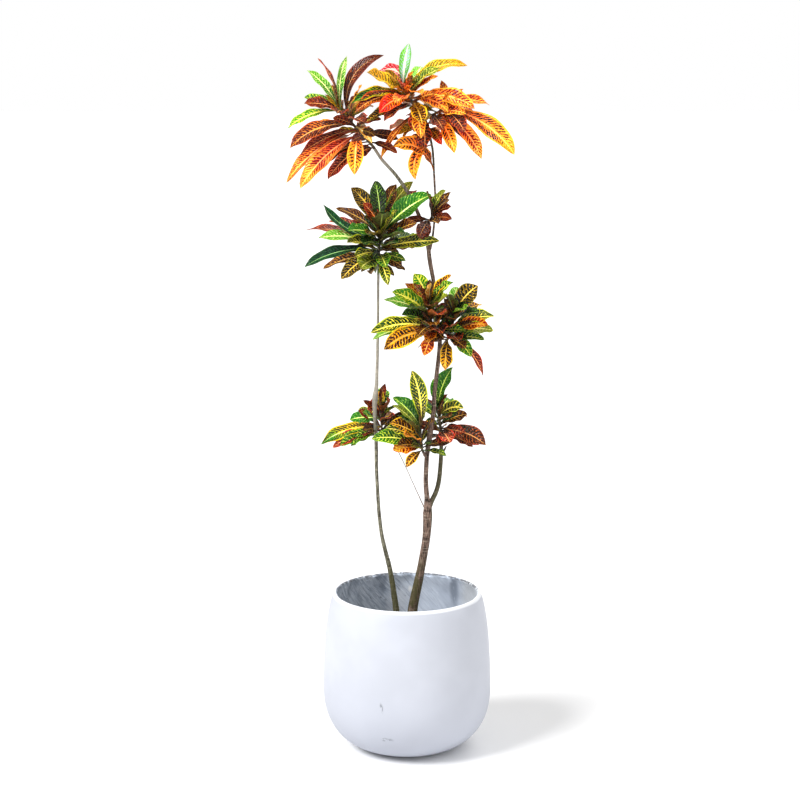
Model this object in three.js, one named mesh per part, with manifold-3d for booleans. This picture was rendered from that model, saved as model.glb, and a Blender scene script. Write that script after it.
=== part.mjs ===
// Potted croton: two bare canes with leafy heads, standing in soil in a rounded white planter.
// Units are millimetres and +Z is up. The origin is the centre of the planter's flat base.

import * as THREE from 'three';
import { mergeVertices } from 'three/addons/utils/BufferGeometryUtils.js';
import Module from 'manifold-3d';

const wasm = await Module();
wasm.setup();

// Planter
const POT_HEIGHT = 405;
const POT_BASE_RADIUS = 70;
const POT_BELLY_RADIUS = 214;
const POT_BELLY_HEIGHT = 150;
const POT_RIM_RADIUS = 188;
const POT_WALL = 10;
const POT_FLOOR = 24;
const POT_BASE_ROUNDING = 100;
const POT_BELLY_ROUNDING = 80;
const POT_SHOULDER_PULL = 90;
const POT_NECK_PULL = 40;
const POT_NECK_LEAN = 18;
const POT_SIDES = 32;
const POT_LOWER_STEPS = 5;
const POT_UPPER_STEPS = 5;
const LIP_STEPS = 3;

// Soil
const SOIL_TOP = 280;
const SOIL_CROWN = 6;
const SOIL_HOLE_FLOOR = 190;
const SOIL_HOLE_SIDES = 12;

// Fits
const WELD_DISTANCE = 1e-4;
const SEAT_GAP = 0.3;
const HOLE_CLEARANCE = 0.8;

// Canes
const CANE_SIDES = 7;
const TWIG_SIDES = 5;
const STEPS_PER_SPAN = 2;
const ROUTE_TENSION = 0.5;
const SHOOT_COLLAR = 9;
const SHOOT_TAPER = 0.3;

// Leaves
const LEAF_THICKNESS = 1.2;
const PETIOLE_WIDTH = 3;
const PETIOLE_SHARE = 0.12;
const LEAF_STATIONS = [0, PETIOLE_SHARE, 0.4, 0.78, 1];
const WIDEST_POWER = 1.2;
const FULLNESS_NEAR_ROOT = 0.65;
const FULLNESS_NEAR_TIP = 0.95;
const DEFAULT_FACE = 50;
const DEFAULT_ARCH = 0.1;
const ARCH_NEAR_ROOT = 0.3;
const ARCH_NEAR_TIP = 0.72;
const ARCH_GAIN = 1.25;
const UP = new THREE.Vector3(0, 0, 1);
const FRONT = new THREE.Vector3(0, -1, 0);

// Cane routes, each point as x, y, z and the cane's radius there
const LEFT_CANE = [
  [-26, -8, SOIL_HOLE_FLOOR + SEAT_GAP, 8.6],
  [-26, -8, 285, 8.6],
  [-28, -8, 358, 8],
  [-43, -6, 461, 6],
  [-66, -2, 565, 4.6],
  [-76, 0, 695, 4.2],
  [-78, -4, 798, 4.5],
  [-81, -8, 875, 5.4],
  [-80, -9, 908, 7.4],
  [-76, -10, 951, 4.2],
  [-73, -12, 1077, 3.4],
  [-72, -16, 1177, 3.2],
  [-71, -20, 1242, 3.2],
];
const RIGHT_CANE = [
  [10, 8, SOIL_HOLE_FLOOR + SEAT_GAP, 13.4],
  [10, 8, 285, 13.4],
  [15, 8, 358, 12.6],
  [35, 6, 461, 10.4],
  [48, 3, 539, 10],
  [52, 1, 608, 12],
  [50, 0, 650, 6.4],
  [47, 0, 695, 6],
  [50, 0, 759, 5.8],
  [57, 0, 811, 7.2],
  [65, 0, 862, 5.4],
  [69, 0, 925, 5.2],
  [81, 0, 1039, 5.4],
  [77, 0, 1085, 5],
  [74, 0, 1127, 4.8],
  [66, 0, 1192, 4.8],
  [56, 2, 1246, 5.4],
  [52, 4, 1280, 5.2],
  [44, 5, 1321, 4.8],
  [31, 5, 1355, 4.6],
  [9, 4, 1404, 4.4],
  [-25, 2, 1456, 4.2],
  [-60, 0, 1495, 4],
  [-80, -1, 1524, 3.8],
];
const TOP_RIGHT_BRANCH = [
  [53, 3, 1268, 3.4],
  [60, 10, 1292, 2.8],
  [66, 20, 1335, 2.6],
  [70, 27, 1387, 2.5],
  [68, 31, 1424, 2.5],
  [66, 34, 1462, 2.8],
];
const LOWER_RIGHT_BRANCH = [
  [50, 1, 606, 6.4],
  [61, 7, 636, 6.2],
  [76, 18, 669, 5.9],
  [83, 28, 708, 5.6],
  [86, 36, 757, 5.2],
  [86, 40, 796, 4.4],
];
const LOWER_LEFT_TWIG = [
  [47, 0, 616, 3],
  [38, 4, 634, 2],
  [16, 11, 682, 1.5],
  [-8, 19, 734, 1.5],
  [-34, 25, 782, 1.8],
  [-60, 28, 802, 2.6],
];
const SPUR_STUB = [
  [39, 5, 1336, 3.4],
  [46, -5, 1341, 3],
  [52, -13, 1347, 2.8],
];
const MIDDLE_LEFT_STUB = [
  [80, 0, 1046, 3.8],
  [75, -10, 1057, 3.6],
  [71, -17, 1068, 3.4],
];
const MIDDLE_RIGHT_STUB = [
  [81, 0, 1030, 3.8],
  [90, -5, 1040, 3.6],
  [97, -8, 1051, 3.4],
];
const LOWER_CENTRE_STUB = [
  [50, 0, 752, 3.8],
  [44, -9, 761, 3.6],
  [40, -15, 771, 3.4],
];
const BUD_STUB = [
  [86, 36, 756, 3],
  [93, 34, 764, 2.8],
  [99, 33, 775, 1.4],
];

// Leafy heads. A shoot goes on from the end of its cane through the points in its route (x, y, z, radius).
// A leaf is: its place along the shoot from 0 to 1, its tip as dx, dy, dz from the crown, its width, and,
// where they differ from the usual, how far its face is turned to the front in degrees and its arch as a
// share of its length.
const HEADS = [
  {
    name: 'top_left_head',
    color: 0xa8401c,
    cane: RIGHT_CANE,
    shoots: [
      {
        route: [[-112, -4, 1562, 3.6], [-133, -5, 1584, 3.4], [-171, -8, 1623, 2.8]],
        crown: [-140, -5, 1600],
        leaves: [
          [0.98, -103, -10, 113, 28, 60],
          [0.95, -78, 22, 142, 16, 10],
          [0.94, -7, 20, 147, 22, 50, 0.13],
          [0.97, -47, 35, 76, 26, 40],
          [0.82, 83, 28, 149, 34, 60, 0.26],
          [0.8, 30, -32, 80, 34, 40],
          [0.8, 34, -108, -6, 50, 10],
          [0.9, -28, -118, 14, 46, 10],
          [0.97, -110, -18, 34, 34, 60],
          [0.99, -113, 40, 46, 28],
          [0.95, -152, 2, -27, 28, 50, 0.13],
          [0.72, -145, -22, -73, 42, 60, 0.15],
          [0.7, 54, -35, -60, 22, 40],
          [0.6, 12, -62, -135, 46, 10],
          [0.5, -120, -48, -169, 48, 60],
          [0.6, -122, -8, -91, 32, 40],
          [0.62, -157, 12, -160, 36, 55],
          [0.4, -112, -14, -150, 30, 30],
          [0.34, -83, 24, -122, 40],
          [0.3, -54, -14, -150, 36, 55],
          [0.12, 14, -26, -92, 34, 45],
          [0.9, -60, 128, 40, 44, 0],
          [0.75, -8, 138, 10, 46, 0],
          [0.7, -108, 88, -40, 44, 20],
          [0.5, -40, 118, -62, 42, 0],
          [0.45, 22, 96, -52, 40, 0],
          [0.85, 20, 96, 40, 40, 0],
          [0.85, 56, 104, 24, 38, 20],
          [0.65, 40, 60, -30, 36, 20],
          [0.55, -60, 80, -100, 38, 10],
        ],
      },
    ],
  },
  {
    name: 'top_right_head',
    color: 0xc9762a,
    cane: TOP_RIGHT_BRANCH,
    shoots: [
      {
        route: [
          [64, 35, 1500, 2.8],
          [60, 33, 1532, 2.8],
          [45, 25, 1590, 3.2],
          [10, 18, 1640, 3.2],
          [-12, 14, 1662, 2.6],
        ],
        crown: [-6, 15, 1648],
        leaves: [
          [0.99, 10, 35, 130, 30, 10],
          [0.93, 152, 8, 76, 38, 50, 0.2],
          [0.9, 88, -18, 70, 36, 40, 0.12],
          [0.86, 80, -34, 52, 22],
          [0.93, 16, -46, 30, 24, 20],
          [0.95, -92, -58, 62, 50, 50, 0.04],
          [0.965, -71, 34, 56, 32, 50, 0.42],
          [0.965, -18, -30, 44, 26, 30],
          [0.9, -128, -58, -13, 36, 50, 0.14],
          [0.86, -120, -70, -34, 42, 45, 0.16],
          [0.88, -112, -10, -14, 34, 50, 0.12],
          [0.84, -62, -75, -35, 40, 45, 0.15],
          [0.86, 105, -44, -34, 36, 45, 0.15],
          [0.82, 42, -82, -62, 42, 20],
          [0.78, -92, -30, -56, 34, 45],
          [0.8, 39, -62, -96, 36, 30],
          [0.76, 22, -48, -82, 36, 20],
          [0.74, -59, -36, -150, 20, 30],
          [0.7, 48, -26, -122, 46, 40],
          [0.06, -30, -42, -118, 50, 60, 0.26],
          [0.5, 26, -14, -200, 34, 50, 0.30],
          [0.82, 169, -34, -27, 46, 60, 0.17],
          [0.88, -40, 120, 50, 44, 0],
          [0.84, 42, 122, 72, 42, 0],
          [0.9, -92, 92, -10, 44, 10],
          [0.84, 62, 118, -30, 44, 0],
          [0.78, 2, 134, -24, 44, 0],
          [0.66, -38, 98, -84, 40, 0],
          [0.6, 80, 96, -88, 40, 0],
          [0.92, 40, -90, 10, 38, 0],
          [0.88, -20, -110, -10, 42, 0],
          [0.8, -50, -80, -55, 36, 10],
        ],
      },
      {
        start: [43, 24, 1593, 3],
        route: [[60, 16, 1605, 3], [78, 9, 1614, 2.8], [95, 5, 1622, 2.4]],
        crown: [80, 8, 1618],
        leaves: [
          [0.6, 122, 26, 10, 32, 50, 0.18],
          [0.4, 61, -56, -7, 36, 40],
          [0.45, 34, -48, -103, 36],
          [0.75, 100, -40, -118, 40, 60],
          [0.97, 181, -22, -108, 54, 70, 0.12],
          [0.3, 6, -66, -46, 34, 20],
          [0.85, 58, -66, -50, 40, 30],
          [0.7, 60, 112, 4, 44, 0],
          [0.95, 104, 82, -56, 42, 10],
          [0.5, 34, 100, -66, 40, 0],
          [0.97, 90, 60, -10, 34, 30],
          [0.8, 120, 20, -50, 34],
          [0.6, 70, -20, -80, 34],
        ],
      },
    ],
  },
  {
    name: 'spur_head',
    color: 0x6b4423,
    cane: SPUR_STUB,
    shoots: [
      {
        route: [[57, -20, 1355, 2.6], [62, -26, 1364, 2.2]],
        crown: [41, -20, 1352],
        leaves: [
          [0.9, 52, -14, 74, 30, 50, 0.12],
          [0.7, 66, 14, 66, 27, 40],
          [0.8, 62, -30, 52, 26, 40],
          [0.3, 66, -20, 34, 29, 50, 0.15],
          [0.1, 34, -60, -4, 34, 20],
          [0.2, -6, -44, -44, 36, 30],
          [0.4, -12, -64, -38, 34, 20],
        ],
      },
    ],
  },
  {
    name: 'second_head',
    color: 0x3d5a22,
    cane: LEFT_CANE,
    shoots: [
      {
        route: [[-69, -20, 1282, 3.4], [-67, -20, 1308, 3.2], [-66, -20, 1332, 2.8]],
        crown: [-67, -20, 1308],
        leaves: [
          [0.86, -72, 50, 119, 44, 60],
          [0.99, -12, 45, 136, 46, 20],
          [0.92, -42, 18, 84, 32],
          [0.95, 40, 62, 127, 36, 40],
          [0.89, 82, 78, 132, 36, 40],
          [0.82, 92, 92, 110, 32, 30],
          [0.76, 126, -18, 107, 58, 60],
          [0.72, -138, -20, 84, 30, 50, -0.12],
          [0.79, -109, 28, 70, 32, 40],
          [0.66, -128, 38, 38, 32, 40],
          [0.65, -183, 8, 19, 34, 30, 0.08],
          [0.55, -151, -26, 2, 34, 45],
          [0.74, -76, -90, 26, 44, 40],
          [0.45, -185, -24, -70, 36, 50, 0.12],
          [0.35, -141, 22, -79, 36, 45],
          [0.3, -91, 30, -84, 38, 45],
          [0.4, -94, -46, -97, 42, 45],
          [0.3, -47, -62, -68, 52, 30],
          [0.2, -22, 30, -94, 36, 20],
          [0.4, 15, -72, -64, 42, 20],
          [0.35, 54, -16, -68, 36, 40],
          [0.5, 146, -26, -5, 38, 60, 0.05],
          [0.45, 86, 26, -26, 36, 40],
          [0.5, -79, -78, -4, 44, 30],
          [0.62, 44, -52, 74, 32, 40],
          [0.85, 6, -74, 66, 46, 10],
          [0.75, -60, 128, 42, 48, 0],
          [0.7, 0, 140, 60, 48, 0],
          [0.65, 64, 112, 50, 46, 0],
          [0.5, -112, 92, 0, 46, 10],
          [0.45, 92, 98, -4, 44, 0],
          [0.3, -42, 120, -52, 44, 0],
          [0.7, -30, -95, 20, 42, 0],
          [0.6, 60, -80, 20, 42, 20],
          [0.4, -60, -60, -40, 38, 20],
          [0.6, 90, -40, 40, 40],
          [0.6, -40, -84, -6, 44, 20],
          [0.45, 44, -76, -4, 42, 20],
          [0.3, 20, -60, -110, 28, 30],
        ],
      },
    ],
  },
  {
    name: 'middle_left_head',
    color: 0x7d8a24,
    cane: MIDDLE_LEFT_STUB,
    shoots: [
      {
        route: [[65, -24, 1084, 3.4], [57, -29, 1112, 3.2], [52, -31, 1146, 2.6]],
        crown: [56, -28, 1120],
        leaves: [
          [0.97, -40, 26, 98, 40],
          [0.99, 2, -16, 80, 24, 30],
          [0.86, -62, 32, 73, 30, 40],
          [0.91, -42, -34, 78, 40, 45],
          [0.78, -94, -20, 58, 46, 55],
          [0.75, -114, 16, 34, 32, 45],
          [0.94, 57, -36, 84, 36],
          [0.89, 52, -14, 100, 32, 60],
          [0.8, 42, -62, 55, 36, 35],
          [0.5, -146, -32, -42, 46, 60, 0.12],
          [0.45, -142, -8, -62, 36, 50, 0.12],
          [0.4, -114, -58, -79, 58, 70],
          [0.6, -70, -72, 8, 42, 40],
          [0.35, -8, -62, -60, 36, 20],
          [0.15, -14, -24, -100, 36, 45],
          [0.7, 26, -106, 14, 50, 0],
          [0.45, 30, -86, -34, 48, 10],
          [0.8, -70, 92, 34, 44, 0],
          [0.83, -24, 112, 56, 44, 0],
          [0.5, -94, 66, -38, 44, 20],
          [0.75, -50, -95, 30, 42, 10],
          [0.55, -30, -90, -40, 40, 10],
          [0.62, 14, -92, -14, 40, 20],
          [0.86, 6, -70, 34, 38, 10],
        ],
      },
    ],
  },
  {
    name: 'middle_right_head',
    color: 0x8f7a26,
    cane: MIDDLE_RIGHT_STUB,
    shoots: [
      {
        route: [[105, -11, 1070, 3.2], [112, -12, 1092, 3], [117, -12, 1122, 2.6]],
        crown: [113, -12, 1100],
        leaves: [
          [0.97, 10, 36, 82, 38, 30],
          [0.95, 62, 6, 88, 54, 65],
          [0.7, 102, -12, 14, 42],
          [0.6, 86, -34, -4, 42, 55],
          [0.9, 30, -76, 42, 40, 20],
          [0.4, 44, -42, -82, 36, 40],
          [0.3, 74, -16, -134, 26, 40, 0.15],
          [0.2, -20, -52, -114, 38, 30],
          [0.4, 12, -72, -38, 44, 10],
          [0.9, 22, 108, 42, 44, 0],
          [0.8, 74, 82, 32, 44, 10],
          [0.7, -26, 100, 24, 42, 0],
          [0.5, 62, 88, -40, 42, 0],
          [0.35, 4, 98, -52, 42, 0],
          [0.5, 102, 42, -30, 42, 40],
          [0.95, -14, -50, 74, 36, 20],
          [0.85, 60, -60, 30, 40, 30],
          [0.6, -10, -100, 0, 42, 0],
          [0.2, 30, -50, -60, 34, 30],
          [0.74, -16, -76, 20, 36, 20],
        ],
      },
    ],
  },
  {
    name: 'lower_centre_head',
    color: 0x5f7f22,
    cane: LOWER_CENTRE_STUB,
    shoots: [
      {
        route: [[37, -19, 786, 3.2], [34, -22, 806, 3], [33, -24, 838, 2.6]],
        crown: [36, -22, 820],
        leaves: [
          [0.97, -25, 18, 156, 44, 45],
          [0.95, -72, -8, 92, 44, 60],
          [0.85, -74, -48, 80, 24],
          [0.75, -78, -34, 32, 44],
          [0.5, -125, -34, -8, 44, 60],
          [0.45, -100, 0, 0, 40],
          [0.3, -72, -24, -38, 44],
          [0.55, -42, -76, 8, 42, 20],
          [0.15, -38, -34, -80, 28, 40],
          [0.8, -62, 78, 34, 44, 0],
          [0.95, -30, 88, 66, 42, 0],
          [0.5, -30, 80, -20, 42, 10],
          [0.8, -50, -60, 50, 38, 20],
          [0.65, -90, -40, 20, 38, 40],
          [0.35, -60, -60, -20, 36, 30],
        ],
      },
    ],
  },
  {
    name: 'lower_right_head',
    color: 0x6d5324,
    cane: LOWER_RIGHT_BRANCH,
    shoots: [
      {
        route: [[85, 42, 818, 3.8], [81, 44, 842, 3.2], [77, 46, 868, 2.8]],
        crown: [80, 44, 830],
        leaves: [
          [0.97, -15, 14, 113, 40, 30],
          [0.95, 35, -8, 147, 44, 60],
          [0.8, 62, -32, 46, 38, 55, 0.2],
          [0.6, 72, 12, 23, 38],
          [0.4, 118, -30, -49, 52, 65, 0.14],
          [0.35, 26, -86, -30, 44, 10],
          [0.3, 86, -6, -58, 36],
          [0.25, 104, 24, -60, 36],
          [0.8, 30, 108, 44, 44, 0],
          [0.85, -42, 88, 34, 42, 0],
          [0.6, 74, 82, 4, 44, 10],
          [0.4, 2, 100, -32, 42, 0],
          [0.7, 56, 60, 20, 40, 30],
          [0.4, -60, 62, -16, 40, 20],
          [0.5, 60, -60, -20, 40, 40],
          [0.7, 30, -50, 30, 36, 20],
        ],
      },
    ],
  },
  {
    name: 'lower_left_head',
    color: 0x82702a,
    cane: LOWER_LEFT_TWIG,
    shoots: [
      {
        route: [[-64, 29, 824, 2.6], [-66, 30, 848, 2.6], [-67, 31, 872, 2.4]],
        crown: [-63, 28, 830],
        leaves: [
          [0.5, -155, 6, -51, 40, 50, 0.12],
          [0.4, -125, -10, -56, 38],
          [0.3, -105, -20, -49, 42],
          [0.25, -80, 24, -60, 36, 40],
          [0.7, -82, 28, 8, 40],
          [0.9, -34, 22, 56, 44],
          [0.85, 20, -26, 66, 44, 30],
          [0.97, -4, 18, 88, 30, 30],
          [0.95, 6, 46, 88, 36, 10],
          [0.6, 22, -52, 30, 44, 20],
          [0.55, 42, 32, 6, 40, 30],
          [0.7, -42, 92, 20, 42, 0],
          [0.6, 32, 88, 12, 42, 0],
          [0.4, -88, 68, -22, 42, 20],
          [0.3, 34, 62, -30, 40, 0],
          [0.45, 30, -20, -30, 36, 40],
          [0.65, -60, 60, 30, 38, 10],
        ],
      },
    ],
  },
];

const FINISHES = {
  pot: finish(0xe9ebf1, 0.7),
  soil: finish(0x3a2c20, 1),
  bark: finish(0x7d6f60, 0.85),
};
const LEAF_ROUGHNESS = 0.5;

function vector(point) {
  return new THREE.Vector3(point[0], point[1], point[2]);
}

function finish(color, roughness) {
  return new THREE.MeshStandardMaterial({ color, roughness, metalness: 0 });
}

// Closed geometry to solid and back

function solidOf(geometry) {
  const bare = geometry.index ? geometry : geometry.clone();
  bare.deleteAttribute('normal');
  bare.deleteAttribute('uv');
  const merged = mergeVertices(bare, WELD_DISTANCE);
  const corners = merged.index.array;
  const kept = [];
  for (let i = 0; i < corners.length; i += 3) {
    const [a, b, c] = corners.slice(i, i + 3);
    if (a !== b && b !== c && c !== a) kept.push(a, b, c);
  }
  const mesh = new wasm.Mesh({
    numProp: 3,
    vertProperties: new Float32Array(merged.attributes.position.array),
    triVerts: new Uint32Array(kept),
  });
  return new wasm.Manifold(mesh);
}

function geometryOf(solid) {
  const mesh = solid.getMesh();
  const geometry = new THREE.BufferGeometry();
  geometry.setAttribute('position', new THREE.BufferAttribute(mesh.vertProperties, 3));
  geometry.setIndex(new THREE.BufferAttribute(mesh.triVerts, 1));
  geometry.computeVertexNormals();
  return geometry;
}

function joined(solids) {
  const whole = solids.reduce((sum, solid) => sum.add(solid));
  return whole.decompose().reduce((best, piece) => (piece.volume() > best.volume() ? piece : best));
}

// Planter and soil

function wallCurve(inset, floor) {
  const belly = new THREE.Vector2(POT_BELLY_RADIUS - inset, POT_BELLY_HEIGHT);
  const base = new THREE.Vector2(POT_BASE_RADIUS, floor);
  const rim = new THREE.Vector2(POT_RIM_RADIUS - inset, POT_HEIGHT - POT_WALL / 2);
  const lower = new THREE.CubicBezierCurve(
    base,
    new THREE.Vector2(base.x + POT_BASE_ROUNDING, floor),
    new THREE.Vector2(belly.x, belly.y - POT_BELLY_ROUNDING + floor / 2),
    belly,
  );
  const upper = new THREE.CubicBezierCurve(
    belly,
    new THREE.Vector2(belly.x, belly.y + POT_SHOULDER_PULL),
    new THREE.Vector2(rim.x + POT_NECK_LEAN, POT_HEIGHT - POT_NECK_PULL),
    rim,
  );
  return [...lower.getPoints(POT_LOWER_STEPS), ...upper.getPoints(POT_UPPER_STEPS).slice(1)];
}

function lipPoints() {
  const points = [];
  for (let i = 1; i < LIP_STEPS; i += 1) {
    const angle = (Math.PI * i) / LIP_STEPS;
    points.push(new THREE.Vector2(
      POT_RIM_RADIUS - (POT_WALL / 2) * (1 - Math.cos(angle)),
      POT_HEIGHT - (POT_WALL / 2) * (1 - Math.sin(angle)),
    ));
  }
  return points;
}

function turned(profile) {
  const geometry = new THREE.LatheGeometry(profile, POT_SIDES);
  geometry.rotateX(Math.PI / 2);
  return geometry;
}

function potSolid() {
  const outer = wallCurve(0, 0);
  const inner = wallCurve(POT_WALL, POT_FLOOR).reverse();
  const base = new THREE.Vector2(0, 0);
  const floor = new THREE.Vector2(0, POT_FLOOR);
  return solidOf(turned([base, ...outer, ...lipPoints(), ...inner, floor]));
}

function radiusAt(curve, height) {
  const above = curve.findIndex((point) => point.y >= height);
  const low = curve[above - 1];
  const high = curve[above];
  return THREE.MathUtils.mapLinear(height, low.y, high.y, low.x, high.x);
}

function soilSolid(canes) {
  const wall = wallCurve(POT_WALL + SEAT_GAP, POT_FLOOR + SEAT_GAP);
  const profile = [
    new THREE.Vector2(0, POT_FLOOR + SEAT_GAP),
    ...wall.filter((point) => point.y < SOIL_TOP),
    new THREE.Vector2(radiusAt(wall, SOIL_TOP), SOIL_TOP),
    new THREE.Vector2(0, SOIL_TOP + SOIL_CROWN),
  ];
  return canes.reduce((soil, cane) => soil.subtract(caneHole(cane[0])), solidOf(turned(profile)));
}

function caneHole([x, y, , radius]) {
  const depth = SOIL_TOP + 2 * SOIL_CROWN - SOIL_HOLE_FLOOR;
  const bore = radius + HOLE_CLEARANCE;
  const hole = new THREE.CylinderGeometry(bore, bore, depth, SOIL_HOLE_SIDES);
  hole.rotateX(Math.PI / 2);
  hole.translate(x, y, SOIL_HOLE_FLOOR + depth / 2);
  return solidOf(hole);
}

// Canes and shoots: round tapered branches along a smooth route

function branchSolid(points, sides) {
  const curve = new THREE.CatmullRomCurve3(points.map(vector), false, 'catmullrom', ROUTE_TENSION);
  const spans = points.length - 1;
  const steps = spans * STEPS_PER_SPAN;
  const positions = [];
  const side = new THREE.Vector3(1, 0, 0);
  for (let i = 0; i <= steps; i += 1) {
    const centre = curve.getPoint(i / steps);
    const along = curve.getTangent(i / steps).normalize();
    side.addScaledVector(along, -side.dot(along)).normalize();
    const across = new THREE.Vector3().crossVectors(along, side);
    const place = i / STEPS_PER_SPAN;
    const from = Math.min(Math.floor(place), spans - 1);
    const radius = THREE.MathUtils.lerp(points[from][3], points[from + 1][3], place - from);
    for (let k = 0; k < sides; k += 1) {
      const angle = (2 * Math.PI * k) / sides;
      const corner = centre.clone()
        .addScaledVector(side, radius * Math.cos(angle))
        .addScaledVector(across, radius * Math.sin(angle));
      positions.push(corner.x, corner.y, corner.z);
    }
  }
  const faces = [];
  for (let i = 0; i < steps; i += 1) {
    for (let k = 0; k < sides; k += 1) {
      const a = i * sides + k;
      const b = i * sides + ((k + 1) % sides);
      faces.push(a, b, b + sides, a, b + sides, a + sides);
    }
  }
  const last = steps * sides;
  for (let k = 1; k < sides - 1; k += 1) {
    faces.push(0, k + 1, k, last, last + k, last + k + 1);
  }
  return solidOf(indexed(positions, faces));
}

function indexed(positions, faces) {
  const geometry = new THREE.BufferGeometry();
  geometry.setAttribute('position', new THREE.Float32BufferAttribute(positions, 3));
  geometry.setIndex(faces);
  return geometry;
}

// The first shoot of a head is seated end to end on its cane; a later one grows out of the first.
function shootPoints(shoot, cane) {
  if (shoot.start) return [shoot.start, ...shoot.route];
  const end = cane[cane.length - 1];
  const along = vector(end).sub(vector(cane[cane.length - 2])).normalize();
  const onCane = (distance, radius) => [...vector(end).addScaledVector(along, distance).toArray(), radius];
  const radius = end[3] - SHOOT_TAPER;
  return [onCane(SEAT_GAP, radius), onCane(SHOOT_COLLAR, radius), ...shoot.route];
}

// Leaves: a thin blade on a petiole, arched between its root on the shoot and its tip

function bladeHalfWidth(place, width) {
  const along = Math.max(0, (place - PETIOLE_SHARE) / (1 - PETIOLE_SHARE));
  const swell = Math.sin(Math.PI * Math.min(1, along) ** WIDEST_POWER);
  const fullness = THREE.MathUtils.lerp(FULLNESS_NEAR_ROOT, FULLNESS_NEAR_TIP, along);
  return Math.max(PETIOLE_WIDTH / 2, (width / 2) * Math.max(0, swell) ** fullness);
}

function leafSolid(root, tip, width, face, arch) {
  const chord = tip.clone().sub(root);
  const length = chord.length();
  const lift = UP.clone().addScaledVector(chord, -chord.z / length ** 2).normalize();
  const rise = lift.clone().multiplyScalar(length * arch * ARCH_GAIN);
  const midrib = new THREE.CubicBezierCurve3(
    root,
    root.clone().addScaledVector(chord, ARCH_NEAR_ROOT).add(rise),
    root.clone().addScaledVector(chord, ARCH_NEAR_TIP).add(rise),
    tip,
  );
  const level = new THREE.Vector3().crossVectors(chord, lift).normalize();
  const turn = THREE.MathUtils.degToRad(face) * (level.dot(FRONT) < 0 ? -1 : 1);
  const rows = LEAF_STATIONS.map((place) => {
    const centre = midrib.getPoint(place);
    const along = midrib.getTangent(place).normalize();
    const flat = level.clone().addScaledVector(along, -level.dot(along)).normalize();
    const normal = new THREE.Vector3().crossVectors(flat, along).applyAxisAngle(along, turn);
    const across = flat.applyAxisAngle(along, turn);
    const half = bladeHalfWidth(place, width);
    const sides = place < 1 ? [-1, 1] : [0];
    return { corners: sides.map((side) => centre.clone().addScaledVector(across, side * half)), normal };
  });
  return slabSolid(rows);
}

// A slab round rows of corners, with its two faces split alike
function slabSolid(rows) {
  const positions = [];
  const tops = rows.map(({ corners, normal }) => corners.map((corner) => {
    for (const side of [0.5, -0.5]) {
      positions.push(...corner.clone().addScaledVector(normal, side * LEAF_THICKNESS).toArray());
    }
    return positions.length / 3 - 2;
  }));
  const faces = [];
  const wall = (a, b) => faces.push(a, a + 1, b + 1, a, b + 1, b);
  for (let row = 0; row < tops.length - 1; row += 1) {
    const here = tops[row];
    const next = tops[row + 1];
    for (const [a, b, c] of stripFaces(here, next)) {
      faces.push(a, b, c, a + 1, c + 1, b + 1);
    }
    wall(next[0], here[0]);
    wall(here[here.length - 1], next[next.length - 1]);
  }
  wall(tops[0][0], tops[0][1]);
  return solidOf(indexed(positions, faces));
}

// Triangles from one row of two corners to the next row, which is a single corner at the tip
function stripFaces([left, right], next) {
  if (next.length === 1) return [[left, right, next[0]]];
  return [[left, right, next[1]], [left, next[1], next[0]]];
}

function headSolid(head) {
  const pieces = [];
  for (const shoot of head.shoots) {
    const points = shootPoints(shoot, head.cane);
    const curve = new THREE.CatmullRomCurve3(points.map(vector), false, 'catmullrom', ROUTE_TENSION);
    pieces.push(branchSolid(points, TWIG_SIDES));
    const crown = vector(shoot.crown);
    for (const [seat, dx, dy, dz, width, face = DEFAULT_FACE, arch = DEFAULT_ARCH] of shoot.leaves) {
      const root = curve.getPoint(seat);
      const tip = crown.clone().add(new THREE.Vector3(dx, dy, dz));
      pieces.push(leafSolid(root, tip, width, face, arch));
    }
  }
  return joined(pieces);
}

// The plant and its planter

const plant = new THREE.Group();

function place(name, solid, material) {
  const mesh = new THREE.Mesh(geometryOf(solid), material);
  mesh.name = name;
  plant.add(mesh);
}

place('pot', potSolid(), FINISHES.pot);
place('potting_soil', soilSolid([LEFT_CANE, RIGHT_CANE]), FINISHES.soil);
place('left_cane', branchSolid(LEFT_CANE, CANE_SIDES), FINISHES.bark);
place('right_cane', joined([
  branchSolid(RIGHT_CANE, CANE_SIDES),
  branchSolid(TOP_RIGHT_BRANCH, TWIG_SIDES),
  branchSolid(LOWER_RIGHT_BRANCH, CANE_SIDES),
  branchSolid(LOWER_LEFT_TWIG, TWIG_SIDES),
  branchSolid(SPUR_STUB, TWIG_SIDES),
  branchSolid(MIDDLE_LEFT_STUB, TWIG_SIDES),
  branchSolid(MIDDLE_RIGHT_STUB, TWIG_SIDES),
  branchSolid(LOWER_CENTRE_STUB, TWIG_SIDES),
  branchSolid(BUD_STUB, TWIG_SIDES),
]), FINISHES.bark);
for (const head of HEADS) {
  place(head.name, headSolid(head), finish(head.color, LEAF_ROUGHNESS));
}

export default plant;
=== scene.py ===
"""Potted croton: the finished looks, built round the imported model.

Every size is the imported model's own. Lengths are written in millimetres and turned into metres by MM.
"""

import logging
import math
import random
from dataclasses import dataclass, field
from enum import Enum

import bpy
import numpy as np
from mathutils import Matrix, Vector, noise


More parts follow.
